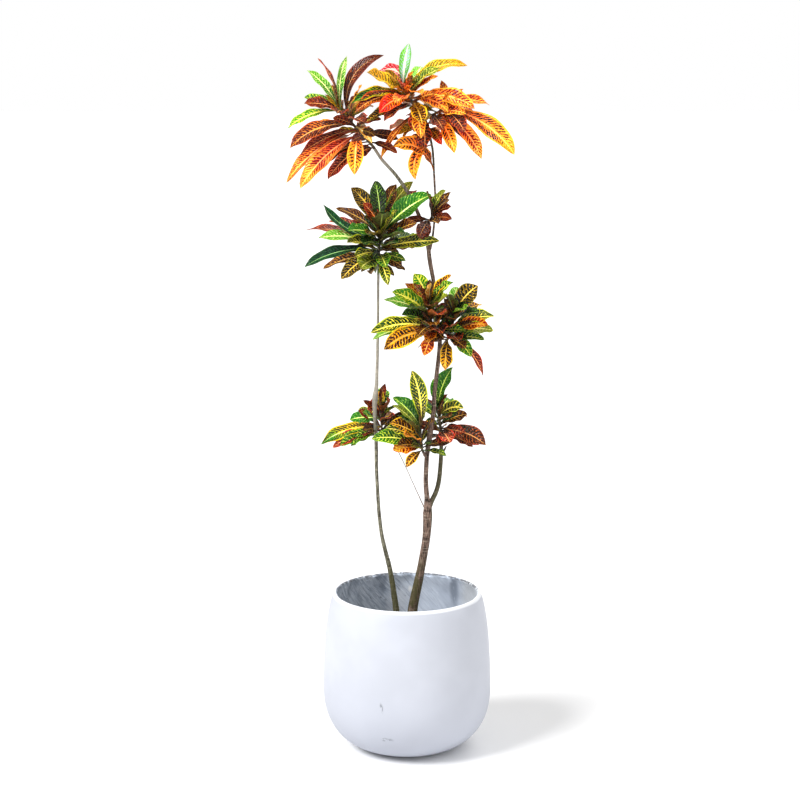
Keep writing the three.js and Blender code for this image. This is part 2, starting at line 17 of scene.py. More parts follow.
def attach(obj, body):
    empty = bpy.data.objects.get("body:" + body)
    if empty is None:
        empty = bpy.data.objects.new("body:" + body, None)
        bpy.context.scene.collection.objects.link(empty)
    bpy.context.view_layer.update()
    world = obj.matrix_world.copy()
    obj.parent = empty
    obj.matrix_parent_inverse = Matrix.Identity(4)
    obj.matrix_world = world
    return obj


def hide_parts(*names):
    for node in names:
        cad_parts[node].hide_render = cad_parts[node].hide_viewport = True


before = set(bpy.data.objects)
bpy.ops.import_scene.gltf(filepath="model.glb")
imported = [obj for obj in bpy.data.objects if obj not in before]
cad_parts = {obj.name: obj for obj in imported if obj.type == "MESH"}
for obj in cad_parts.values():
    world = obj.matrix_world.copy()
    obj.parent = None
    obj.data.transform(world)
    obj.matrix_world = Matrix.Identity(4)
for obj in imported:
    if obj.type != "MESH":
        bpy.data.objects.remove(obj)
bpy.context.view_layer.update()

LOG = logging.getLogger("croton")
MM = 0.001
ROOT = "root"
UP = np.array((0.0, 0.0, 1.0))
FRONT = np.array((0.0, -1.0, 0.0))
SIDEWAYS = np.array((1.0, 0.0, 0.0))
TINY = 1e-6
WELD_REACH = 0.01
GOLDEN_ANGLE = math.radians(137.5)
PETIOLE_SHARE = 0.12  # the part of a leaf's length that is stalk
HAIR_SHARE = 0.62  # how thick the hair-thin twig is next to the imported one
BLACK = "000000"
WHITE = (1.0, 1.0, 1.0, 1.0)
FULL_BYTE = 255
SRGB_KNEE = 0.04045
SRGB_SLOPE = 12.92
SRGB_OFFSET = 0.055
SRGB_POWER = 2.4
SEED = 11
Point = tuple[float, float, float]
Station = tuple[float, float, float, float]
Range = tuple[float, float]


# Small helpers


def linear(code: str) -> tuple[float, float, float, float]:
    """Turns a colour written as rrggbb into the linear colour that shaders use.

    Args:
        code: six hexadecimal digits.

    Returns:
        Red, green, blue and an alpha of one.
    """
    parts = [byte / FULL_BYTE for byte in bytes.fromhex(code)]
    red, green, blue = (
        v / SRGB_SLOPE if v <= SRGB_KNEE else ((v + SRGB_OFFSET) / (1 + SRGB_OFFSET)) ** SRGB_POWER
        for v in parts
    )
    return red, green, blue, 1.0


def ramp(values: np.ndarray, low: float, high: float) -> np.ndarray:
    """Rises evenly from zero at low to one at high, and stays there."""
    return np.clip((values - low) / (high - low), 0.0, 1.0)


def deselect() -> None:
    """Leaves nothing selected, in object mode."""
    if bpy.context.object and bpy.context.object.mode != "OBJECT":
        bpy.ops.object.mode_set(mode="OBJECT")
    bpy.ops.object.select_all(action="DESELECT")


def activate(piece: bpy.types.Object) -> None:
    """Selects one object alone and makes it the active one.

    Args:
        piece: the object.
    """
    deselect()
    piece.select_set(True)
    bpy.context.view_layer.objects.active = piece


def corners(piece: bpy.types.Object) -> np.ndarray:
    """Reads the places of a mesh's vertices.

    Args:
        piece: a mesh object that sits at the origin.

    Returns:
        One row of x, y and z for each vertex.
    """
    flat = np.empty(len(piece.data.vertices) * 3)
    piece.data.vertices.foreach_get("co", flat)
    return flat.reshape(-1, 3)


def set_corners(piece: bpy.types.Object, places: np.ndarray) -> None:
    """Writes the places of a mesh's vertices."""
    piece.data.vertices.foreach_set("co", np.ascontiguousarray(places, dtype=np.float64).ravel())
    piece.data.update()


def own_copy(piece: bpy.types.Object, name: str) -> bpy.types.Object:
    """Copies an object together with its mesh.

    Args:
        piece: the object to copy.
        name: the name of the copy.

    Returns:
        The copy, in the scene.
    """
    twin = piece.copy()
    twin.data = piece.data.copy()
    twin.name = name
    bpy.context.scene.collection.objects.link(twin)
    return twin


def join(pieces: list[bpy.types.Object], name: str) -> bpy.types.Object:
    """Joins objects into the first of them.

    Args:
        pieces: the objects to join.
        name: the name of the whole.

    Returns:
        The joined object.
    """
    deselect()
    for piece in pieces:
        piece.select_set(True)
    bpy.context.view_layer.objects.active = pieces[0]
    if len(pieces) > 1:
        bpy.ops.object.join()
    whole = bpy.context.view_layer.objects.active
    whole.name = name
    whole.data.name = name
    return whole


def discard(piece: bpy.types.Object) -> None:
    """Removes a blank that has been copied from."""
    bpy.data.objects.remove(piece)


def shade_smooth(piece: bpy.types.Object, angle: float = 50.0) -> None:
    """Shades a piece smooth up to an angle in degrees between its faces."""
    activate(piece)
    bpy.ops.object.shade_smooth_by_angle(angle=math.radians(angle))


def set_attribute(piece: bpy.types.Object, name: str, kind: str, values: np.ndarray) -> None:
    """Stores a value for each vertex of a piece.

    Args:
        piece: the mesh object.
        name: the attribute's name.
        kind: FLOAT, FLOAT_VECTOR or FLOAT_COLOR.
        values: one row for each vertex.
    """
    key = {"FLOAT": "value", "FLOAT_VECTOR": "vector", "FLOAT_COLOR": "color"}[kind]
    layer = piece.data.attributes.new(name, kind, "POINT")
    layer.data.foreach_set(key, np.ascontiguousarray(values, dtype=np.float32).ravel())


def finish_piece(piece: bpy.types.Object, node: str) -> None:
    """Puts a finished piece in place of its solid and reports it.

    Args:
        piece: the finished piece.
        node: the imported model's node that it stands for.
    """
    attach(piece, ROOT)
    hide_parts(node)
    LOG.info("%s: %d faces in place of %s", piece.name, len(piece.data.polygons), node)


# Materials


class Graph:
    """A material's node tree, with one method for each kind of node that the finishes need."""

    def __init__(self, name: str) -> None:
        """Starts an empty principled material.

        Args:
            name: the material's name.
        """
        self.material = bpy.data.materials.new(name)
        self.material.use_nodes = True
        self.tree = self.material.node_tree
        self.shader = self.tree.nodes["Principled BSDF"]

    def node(self, kind: str, **settings: object) -> bpy.types.Node:
        """Adds a node.

        Args:
            kind: Blender's name for the kind of node.
            settings: the node's own options.

        Returns:
            The node.
        """
        made = self.tree.nodes.new(kind)
        for key, value in settings.items():
            setattr(made, key, value)
        return made

    def feed(self, socket: bpy.types.NodeSocket, value: object) -> None:
        """Fills an input of a node.

        Args:
            socket: the input.
            value: a socket that is linked to it, or a plain value that it is set to.
        """
        if isinstance(value, bpy.types.NodeSocket):
            self.tree.links.new(value, socket)
        else:
            socket.default_value = value

    def shade(self, name: str, value: object) -> None:
        """Sets or links an input of the shader."""
        self.feed(self.shader.inputs[name], value)

    def maths(self, operation: str, *values: object, clamp: bool = False) -> bpy.types.NodeSocket:
        """Adds a math node.

        Args:
            operation: Blender's name for the operation.
            values: numbers or sockets.
            clamp: keeps the result between zero and one.

        Returns:
            The result.
        """
        made = self.node("ShaderNodeMath", operation=operation, use_clamp=clamp)
        for socket, value in zip(made.inputs, values):
            self.feed(socket, value)
        return made.outputs[0]

    def times(self, *values: object) -> bpy.types.NodeSocket:
        """Multiplies numbers or sockets.

        Args:
            values: the factors, in order.

        Returns:
            The product.
        """
        product = values[0]
        for value in values[1:]:
            product = self.maths("MULTIPLY", product, value)
        return product

    def plus(self, *values: object) -> bpy.types.NodeSocket:
        """Adds numbers or sockets.

        Args:
            values: the terms, in order.

        Returns:
            The sum.
        """
        total = values[0]
        for value in values[1:]:
            total = self.maths("ADD", total, value)
        return total

    def swing(self, pattern: object, amount: object) -> bpy.types.NodeSocket:
        """Turns a pattern between zero and one into one that swings evenly about zero."""
        return self.maths("MULTIPLY", self.maths("SUBTRACT", pattern, 0.5), amount)

    def step(self, value: object, low: object, high: object) -> bpy.types.NodeSocket:
        """Rises smoothly from zero to one.

        Args:
            value: what it follows.
            low: where it is still zero. It may be above high, for a fall.
            high: where it is one.

        Returns:
            The smooth step.
        """
        made = self.node("ShaderNodeMapRange", interpolation_type="SMOOTHSTEP")
        self.feed(made.inputs["Value"], value)
        self.feed(made.inputs["From Min"], low)
        self.feed(made.inputs["From Max"], high)
        return made.outputs["Result"]

    def blend(self, factor: object, first: object, second: object) -> bpy.types.NodeSocket:
        """Mixes two colours.

        Args:
            factor: zero for the first colour, one for the second.
            first: a colour as rrggbb, or a socket.
            second: a colour as rrggbb, or a socket.

        Returns:
            The mixed colour.
        """
        made = self.node("ShaderNodeMix", data_type="RGBA")
        self.feed(made.inputs["Factor"], factor)
        for socket, colour in zip((s for s in made.inputs if s.type == "RGBA"), (first, second)):
            self.feed(socket, linear(colour) if isinstance(colour, str) else colour)
        return next(s for s in made.outputs if s.type == "RGBA")

    def from_middle(self, share: object) -> bpy.types.NodeSocket:
        """Gives how far a share is from one half: zero there, and one at zero and at one."""
        return self.maths("ABSOLUTE", self.maths("MULTIPLY_ADD", share, 2.0, -1.0))

    def rest(self, share: object) -> bpy.types.NodeSocket:
        """Gives what a share leaves of one."""
        return self.maths("SUBTRACT", 1.0, share)

    def between(self, share: object, low: float, high: float) -> bpy.types.NodeSocket:
        """Goes from low to high as a share goes from zero to one."""
        return self.maths("MULTIPLY_ADD", share, high - low, low)

    def noise(self, vector: object, scale: float, detail: float, rough: float) -> bpy.types.NodeSocket:
        """Adds a noise pattern.

        Args:
            vector: where it is drawn.
            scale: how many cells it has to the unit.
            detail: how many finer layers lie on the first.
            rough: how strong the finer layers are.

        Returns:
            The pattern, between zero and one.
        """
        made = self.node("ShaderNodeTexNoise")
        self.feed(made.inputs["Vector"], vector)
        made.inputs["Scale"].default_value = scale
        made.inputs["Detail"].default_value = detail
        made.inputs["Roughness"].default_value = rough
        return made.outputs["Fac"]

    def place(
        self, scale: Point = (1.0, 1.0, 1.0), offset: Point = (0.0, 0.0, 0.0), spot: object = None
    ) -> bpy.types.NodeSocket:
        """Stretches and moves the place on the object in metres, or another spot.

        Args:
            scale: how much it grows along each axis.
            offset: what is then added to it.
            spot: the vector to start from, if it isn't the place on the object.

        Returns:
            The stretched and moved vector.
        """
        made = self.node("ShaderNodeMapping")
        if spot is None:
            spot = self.node("ShaderNodeTexCoord").outputs["Object"]
        self.feed(made.inputs["Vector"], spot)
        made.inputs["Scale"].default_value = scale
        made.inputs["Location"].default_value = offset
        return made.outputs["Vector"]

    def split(self, vector: object) -> tuple[bpy.types.NodeSocket, ...]:
        """Takes a vector apart.

        Args:
            vector: the vector's socket.

        Returns:
            Its x, y and z.
        """
        made = self.node("ShaderNodeSeparateXYZ")
        self.feed(made.inputs[0], vector)
        return tuple(made.outputs)

    def vector(self, *values: object) -> bpy.types.NodeSocket:
        """Puts a vector together.

        Args:
            values: its x, y and z.

        Returns:
            The vector.
        """
        made = self.node("ShaderNodeCombineXYZ")
        for socket, value in zip(made.inputs, values):
            self.feed(socket, value)
        return made.outputs[0]

    def attribute(self, name: str, output: str = "Fac") -> bpy.types.NodeSocket:
        """Reads a value stored on the piece's vertices."""
        return self.node("ShaderNodeAttribute", attribute_name=name).outputs[output]

    def roughen(self, pattern: object, rough: Range, more: object = 0.0) -> None:
        """Sets the roughness.

        Args:
            pattern: where the surface is rougher, between zero and one.
            rough: the least roughness, and what the full pattern adds to it.
            more: what is added everywhere.
        """
        least, rise = rough
        self.shade("Roughness", self.plus(self.maths("MULTIPLY_ADD", pattern, rise, least), more))

    def bump(self, height: object, distance: float, strength: float) -> None:
        """Raises the surface by a pattern.

        Args:
            height: the pattern.
            distance: how high the full pattern stands, in millimetres.
            strength: how strongly it shows.
        """
        made = self.node("ShaderNodeBump")
        self.feed(made.inputs["Height"], height)
        made.inputs["Distance"].default_value = distance * MM
        made.inputs["Strength"].default_value = strength
        self.shade("Normal", made.outputs["Normal"])


@dataclass(frozen=True)
class LeafLook:
    """The pattern of one kind of croton leaf, with its colours as rrggbb.

    spread is how far the vein colour runs into the blade. midrib and edge are shares of half the width.
    lines is the strength of the side veins, and mottle how unevenly the blade colour turns to the tip colour.
    """

    blade: str
    tip: str
    vein: str
    margin: str
    spread: float = 0.2
    midrib: float = 0.12
    edge: float = 0.08
    lines: float = 0.8
    mottle: float = 0.6
    vein_tip: str = ""


class Look(Enum):
    """The kinds of leaf on the plant."""

    LIME = LeafLook("2c7c10", "6ca828", "dce8a0", "90b43c", 0.20, 0.18, 0.10, 0.90, 0.8)
    BRONZE = LeafLook("240a04", "4e200a", "d69e3c", "84481a", 0.10, 0.11, 0.10, 0.85, 1.0)
    EMBER = LeafLook("5e1004", "a43408", "ea8430", "e89234", 0.42, 0.11, 0.14, 0.90, 1.1, "f8c04e")
    MAROON = LeafLook("280706", "5e2010", "b46a3c", "94381c", 0.20, 0.07, 0.10, 0.80, 1.2)
    PLUM = LeafLook("1c0710", "4e1210", "d06c34", "a84018", 0.16, 0.10, 0.12, 0.85, 0.9)
    GREEN = LeafLook("0a4408", "1e7410", "e2ea60", "84c02c", 0.14, 0.13, 0.08, 0.95, 0.7)
    MAROON_GOLD = LeafLook("300808", "5c180c", "cc7430", "a85020", 0.18, 0.10, 0.16, 0.95, 0.9, "e08c34")
    PEACH = LeafLook("d88a28", "f0b850", "f8e8a8", "f0c868", 0.40, 0.26, 0.12, 0.70, 0.8)
    ORANGE_SPOT = LeafLook("200904", "381004", "ee7c36", "f2aa42", 0.66, 0.13, 0.22, 0.55, 1.5, "f4aa3e")
    FIRE = LeafLook("780a0a", "941c0c", "e6643c", "ec8c48", 0.58, 0.11, 0.14, 0.80, 1.6, "ecb650")
    SCARLET = LeafLook("5c0908", "820e08", "f0a42c", "e4602c", 0.54, 0.12, 0.14, 0.80, 1.1, "dc3424")
    CRIMSON = LeafLook("380908", "74170f", "e88c60", "c83c2c", 0.20, 0.11, 0.12, 0.95, 0.9)
    GOLD_OLIVE = LeafLook("68640e", "907418", "d8b82c", "e0b83c", 0.50, 0.10, 0.14, 0.60, 1.0, "e0a030")
    CREAM = LeafLook("4a8c12", "7cb02c", "8c9e9c", "4e8a1a", 0.60, 0.34, 0.20, 0.60, 0.7)
    OLIVE = LeafLook("3c5c10", "748018", "dcdc70", "a4b438", 0.18, 0.12, 0.10, 0.80, 0.9)
    PINK = LeafLook("780e1c", "a82430", "eca8a4", "d85050", 0.34, 0.16, 0.12, 0.95, 0.9)
    YELLOW_GREEN = LeafLook("4c4205", "0a340a", "f4cc22", "e4c024", 0.54, 0.16, 0.16, 0.80, 0.8, "3c8a14")
    GOLD_RED = LeafLook("640b08", "84160a", "ee6c32", "f4b84a", 0.57, 0.12, 0.18, 0.75, 1.5, "f6b044")
    BLOTCH = LeafLook("2a1005", "481a08", "f2b42a", "f2cc40", 0.36, 0.16, 0.18, 0.90, 0.8)
    BLACK_GOLD = LeafLook("081204", "1c1606", "ecc444", "8c8028", 0.10, 0.13, 0.10, 0.90, 0.8)
    TEAL = LeafLook("023428", "0c4a24", "64b878", "5c7c22", 0.06, 0.09, 0.08, 0.28, 0.8)
    LEAF_GREEN = LeafLook("1a5808", "2c7a10", "ccec70", "4c8c20", 0.06, 0.13, 0.06, 0.35, 0.9)
    DEEP = LeafLook("021804", "0a3a0a", "8cbc48", "2c6418", 0.06, 0.11, 0.06, 0.50, 0.9)
    GOLD_VEIN = LeafLook("08280a", "16480c", "f4e45c", "c0c838", 0.14, 0.17, 0.14, 0.85, 0.7)
    LIME_MIDRIB = LeafLook("28740a", "4a8c1a", "e8e458", "b0bc3c", 0.22, 0.20, 0.10, 0.90, 0.7)
    RUST = LeafLook("3a1004", "7c2c0a", "cc6a2c", "a04416", 0.22, 0.10, 0.10, 0.80, 1.0)
    RED_MIDRIB = LeafLook("16220c", "42180c", "b4552c", "8a3c1a", 0.15, 0.11, 0.12, 0.85, 0.8, "c87a40")


@dataclass(frozen=True)
class Pattern:
    """A noise pattern between zero and one: its scale, detail, roughness and the stretch of its cells."""

    scale: float
    detail: float = 2.0
    rough: float = 0.5
    stretch: Point = (1.0, 1.0, 1.0)

    def draw(self, graph: Graph, spot: object = None) -> bpy.types.NodeSocket:
        """Adds the pattern to a material, at the place on the object or at another spot."""
        return graph.noise(graph.place(self.stretch, spot=spot), self.scale, self.detail, self.rough)


@dataclass(frozen=True)
class Coat:
    """A colour that lies over another where a pattern runs from one value to a second one."""

    colour: str
    cut: Range
    share: float = 1.0

    def lay(
        self, graph: Graph, under: object, pattern: object, *masks: object
    ) -> bpy.types.NodeSocket:
        """Lays the colour over another.

        Args:
            graph: the material's node tree.
            under: the colour below, as rrggbb or a socket.
            pattern: what the cut is taken of.
            masks: where else the colour fades out, between zero and one.

        Returns:
            The colour with the coat on it.
        """
        share = graph.times(graph.step(pattern, *self.cut), *masks, self.share)
        return graph.blend(share, under, self.colour)


@dataclass(frozen=True)
class LeafFinish:
    """The finish of every leaf. It draws each leaf's own look from what is stored on its vertices.

    Patterns run along the leaf's UV map: its first number is the share of the length, its second of the
    width. Each leaf has a seed of its own for the third.
    """

    name: str = "croton_leaf"
    fine: Pattern = Pattern(1.0, 3.0, 0.6, (14.0, 8.0, 37.0))
    broad: Pattern = Pattern(1.0, 2.0, 0.6, (3.0, 1.6, 37.0))
    spots: Pattern = Pattern(1.0, 3.0, 0.6, (26.0, 9.0, 37.0))
    vein_bend: float = 1.35
    vein_lean: float = 0.14
    vein_stagger: float = 0.37
    vein_wobble: float = 1.3
    vein_core: Range = (0.70, 0.96)
    vein_fade: float = 0.35
    vein_gaps: Range = (0.34, 0.58)
    vein_least: float = 0.25
    bleed_reach: Range = (2.4, 0.05)
    bleed_veins: float = 0.92
    bleed_level: float = 1.12
    islands: tuple[float, float, float] = (1.5, 0.8, 1.1)
    island_edge: float = 0.05
    island_strength: float = 0.96
    half_share: float = 0.4
    freckles: float = 0.5
    pale_freckles: Range = (0.56, 0.66)
    dark_freckles: Range = (0.44, 0.34)
    # Painted shade: how much darker each blade is near its base, in the heart of the head
    painted_heart_shade: float = 0.6
    painted_heart_band: Range = (0.0, 0.42)
    grade: Range = (0.15, 0.95)
    margin_wobble: float = 0.2
    margin_cut: Range = (0.98, 1.04)
    margin_strength: float = 0.85
    rib_taper: float = 0.55
    rib_core: float = 0.45
    rib_colour: str = "f8eaa4"
    rib_share: float = 0.3
    grain: Pattern = Pattern(900.0, 2.0, 0.6)
    grain_share: float = 0.12
    under_colour: str = "8a7a4c"
    under_share: float = 0.35
    under_rough: float = 0.25
    saturation: float = 1.02
    gain: float = 1.7
    contrast: float = 1.28
    rough: Range = (0.13, 0.22)
    gloss: float = 0.45
    fine_relief: float = 0.5
    relief: float = 1.9
    relief_strength: float = 0.9

    def make(self) -> bpy.types.Material:
        """Makes the material.

        Returns:
            The material.
        """
        graph = Graph(self.name)
        along, cross, _ = graph.split(graph.node("ShaderNodeUVMap", uv_map="UVMap").outputs[0])
        spread, midrib, edge = graph.split(graph.attribute("bands", "Vector"))
        veins, seed, mottle = graph.split(graph.attribute("traits", "Vector"))
        lines, underside, shade = graph.split(graph.attribute("tone", "Vector"))
        side = graph.from_middle(cross)
        longer = 1 / (1 - PETIOLE_SHARE)
        blade = graph.maths("MULTIPLY_ADD", along, longer, 1 - longer, clamp=True)
        sheet = graph.vector(along, cross, seed)
        fine, broad, spots = (pattern.draw(graph, sheet) for pattern in (self.fine, self.broad, self.spots))
        right_half = graph.maths("GREATER_THAN", cross, 0.5)

        # Side veins leave the midrib in pairs that are not quite level, and bend to the tip near the margin
        lean = graph.times(graph.maths("POWER", side, self.vein_bend), self.vein_lean)
        phase = graph.plus(
            graph.times(graph.maths("SUBTRACT", blade, lean), veins),
            graph.times(right_half, self.vein_stagger),
            graph.swing(fine, self.vein_wobble),
            graph.swing(broad, self.vein_wobble),
        )
        tooth = graph.from_middle(graph.maths("FRACT", phase))
        fade = graph.maths("MULTIPLY_ADD", side, -self.vein_fade, 1.0)
        uneven = graph.between(graph.step(spots, *self.vein_gaps), self.vein_least, 1.0)
        line = graph.times(graph.step(tooth, *self.vein_core), fade, lines, uneven)

        # The vein colour runs out into the blade and leaves islands of the blade colour between the veins
        reach = graph.maths("MULTIPLY_ADD", midrib, *self.bleed_reach)
        centre = graph.rest(graph.maths("DIVIDE", side, reach))
        near = graph.maths("MAXIMUM", graph.times(tooth, self.bleed_veins), centre)
        patterns = zip((broad, fine, spots), self.islands)
        ragged = graph.plus(near, *(graph.swing(pattern, amount) for pattern, amount in patterns))
        level = graph.maths("SUBTRACT", self.bleed_level, spread)
        low, high = (graph.plus(level, self.island_edge * sign) for sign in (-1, 1))
        bleed = graph.times(graph.step(ragged, low, high), self.island_strength)

        halves = graph.times(right_half, graph.swing(seed, self.half_share))
        grade = graph.step(graph.plus(blade, graph.swing(broad, mottle), halves), *self.grade)
        ground = graph.blend(grade, graph.attribute("blade", "Color"), graph.attribute("tip", "Color"))
        vein = graph.blend(grade, graph.attribute("vein", "Color"), graph.attribute("vein_tip", "Color"))
        colour = graph.blend(bleed, ground, vein)
        pale = graph.times(graph.step(spots, *self.pale_freckles), self.freckles, lines)
        colour = graph.blend(pale, colour, vein)
        dark = graph.times(graph.step(spots, *self.dark_freckles), self.freckles)
        colour = graph.blend(dark, colour, ground)
        rim = graph.plus(side, graph.swing(fine, self.margin_wobble))
        rim = graph.step(rim, *(graph.maths("SUBTRACT", cut, edge) for cut in self.margin_cut))
        margin = graph.attribute("margin", "Color")
        colour = graph.blend(graph.times(rim, self.margin_strength), colour, margin)
        colour = graph.blend(line, colour, vein)
        taper = graph.times(midrib, graph.maths("MULTIPLY_ADD", blade, -self.rib_taper, 1.0))
        rib = graph.step(side, taper, graph.times(taper, self.rib_core))
        colour = graph.blend(rib, colour, graph.blend(self.rib_share, vein, self.rib_colour))
        colour = graph.blend(graph.times(self.grain.draw(graph), self.grain_share), colour, BLACK)

        dull = graph.blend(self.under_share, colour, self.under_colour)
        tint = graph.node("ShaderNodeHueSaturation")
        graph.feed(tint.inputs["Saturation"], self.saturation)
        # Painted shade: each blade darkens towards its base, where the heart of the head lies in shade. The
        # brightness stored on each leaf also carries its head's painted light or shade.
        heart = graph.between(graph.step(blade, *self.painted_heart_band), 1 - self.painted_heart_shade, 1.0)
        graph.feed(tint.inputs["Value"], graph.times(shade, heart, self.gain))
        graph.feed(tint.inputs["Color"], graph.blend(underside, colour, dull))
        deep = graph.node("ShaderNodeGamma")
        graph.feed(deep.inputs["Color"], tint.outputs["Color"])
        graph.feed(deep.inputs["Gamma"], self.contrast)
        graph.shade("Base Color", deep.outputs["Color"])

        graph.roughen(fine, self.rough, graph.times(underside, self.under_rough))
        graph.shade("Specular IOR Level", self.gloss)
        quilt = graph.times(graph.rest(tooth), graph.rest(rib))
        graph.bump(graph.plus(quilt, graph.times(fine, self.fine_relief)), self.relief, self.relief_strength)
        return graph.material


@dataclass(frozen=True)
class BarkFinish:
    """The bark of the canes: ringed, reddish to the right and grey-green to the left, with moss low down."""

    name: str = "croton_bark"
    grain: Pattern = Pattern(420.0, 4.0, 0.65, (1.0, 1.0, 0.12))
    rings: Pattern = Pattern(260.0, 3.0, 0.6, (0.12, 0.12, 1.0))
    patches: Pattern = Pattern(46.0, 3.0, 0.6, (1.0, 1.0, 0.45))
    dark: str = "1c140d"
    light: str = "92786a"
    light_cut: Range = (0.34, 0.66)
    left_light: Coat = Coat("8e8b76", (0.02, -0.02))
    ring_pale: Coat = Coat("b8aa98", (0.55, 0.70), 0.5)
    ring_dark: Coat = Coat("170f0a", (0.42, 0.30), 0.75)
    low_band: Range = (0.52, 0.42)
    moss: Coat = Coat("4a482a", (0.28, 0.50), 0.82)
    lichen: Coat = Coat("a8a48a", (0.60, 0.68), 0.7)
    # Partly the pale grey bark of the upper left cane, partly painted sunlight from the left
    painted_sun_pale: Coat = Coat("c8c0b4", (0.76, 0.95), 0.42)
    painted_sun_side: Range = (-0.03, -0.05)
    # Partly the grey-green of the lower right branch, partly painted shade on its right side
    shaded: Coat = Coat("4a4e34", (0.80, 0.77), 0.7)
    shaded_side: Range = (0.058, 0.064)
    rough: Range = (0.66, 0.2)
    gloss: float = 0.25
    ring_relief: float = 0.9
    relief: float = 1.1
    relief_strength: float = 0.9

    def make(self) -> bpy.types.Material:
        """Makes the material.

        Returns:
            The material.
        """
        graph = Graph(self.name)
        x, _, z = graph.split(graph.place())
        grain, rings, patches = (pattern.draw(graph) for pattern in (self.grain, self.rings, self.patches))
        light = self.left_light.lay(graph, self.light, x)
        colour = graph.blend(graph.step(grain, *self.light_cut), self.dark, light)
        colour = self.ring_pale.lay(graph, colour, rings)
        colour = self.ring_dark.lay(graph, colour, rings)
        low = graph.step(z, *self.low_band)
        colour = self.moss.lay(graph, colour, patches, low)
        colour = self.lichen.lay(graph, colour, patches, low)
        # The bark turns paler towards the top on the left: partly its own pale grey, partly painted sunlight
        colour = self.painted_sun_pale.lay(graph, colour, z, graph.step(x, *self.painted_sun_side))
        # The bark turns dark grey-green on the right low down: partly its own colour, partly painted shade
        colour = self.shaded.lay(graph, colour, z, graph.step(x, *self.shaded_side))
        graph.shade("Base Color", colour)
        graph.roughen(patches, self.rough)
        graph.shade("Specular IOR Level", self.gloss)
        height = graph.plus(grain, graph.times(rings, self.ring_relief))
        graph.bump(height, self.relief, self.relief_strength)
        return graph.material


@dataclass(frozen=True)
class ShootFinish:
    """The young shoots among the leaves: brown and olive, with pale scars."""

    name: str = "croton_green_stem"
    scars: Pattern = Pattern(300.0, 2.0, 0.55, (0.2, 0.2, 1.0))
    dark: str = "1c130b"
    light: Coat = Coat("524629", (0.36, 0.62))
    scar: Coat = Coat("a09474", (0.60, 0.70), 0.6)
    rough: Range = (0.55, 0.15)
    relief: float = 0.6
    relief_strength: float = 0.8

    def make(self) -> bpy.types.Material:
        """Makes the material.

        Returns:
            The material.
        """
        graph = Graph(self.name)
        scars = self.scars.draw(graph)
        colour = self.light.lay(graph, self.dark, scars)
        graph.shade("Base Color", self.scar.lay(graph, colour, scars))
        graph.roughen(scars, self.rough)
        graph.bump(scars, self.relief, self.relief_strength)
        return graph.material


@dataclass(frozen=True)
class Scuff:
    """A mark on the planter, as a scuff of wear, a splash or a dark band: its centre and its half sizes in
    millimetres, its strength and its scratches.
    """

    centre: Point
    half: Point
    strength: float
    stretch: Point = (1.0, 1.0, 0.3)
    cut: Range = (0.50, 0.56)
    fade: Range = (1.0, 0.35)
    scale: float = 170.0
    detail: float = 3.0
    rough: float = 0.6

    def mask(self, graph: Graph) -> bpy.types.NodeSocket:
        """Draws the mark.

        Args:
            graph: the planter's node tree.

        Returns:
            Where the mark shows, between zero and one.
        """
        scale = tuple(1 / (v * MM) for v in self.half)
        offset = tuple(-c / h for c, h in zip(self.centre, self.half))
        made = graph.node("ShaderNodeVectorMath", operation="LENGTH")
        graph.feed(made.inputs[0], graph.place(scale, offset))
        near = graph.step(made.outputs["Value"], *self.fade)
        scratch = Pattern(self.scale, self.detail, self.rough, self.stretch).draw(graph)
        return graph.times(near, graph.step(scratch, *self.cut), self.strength)


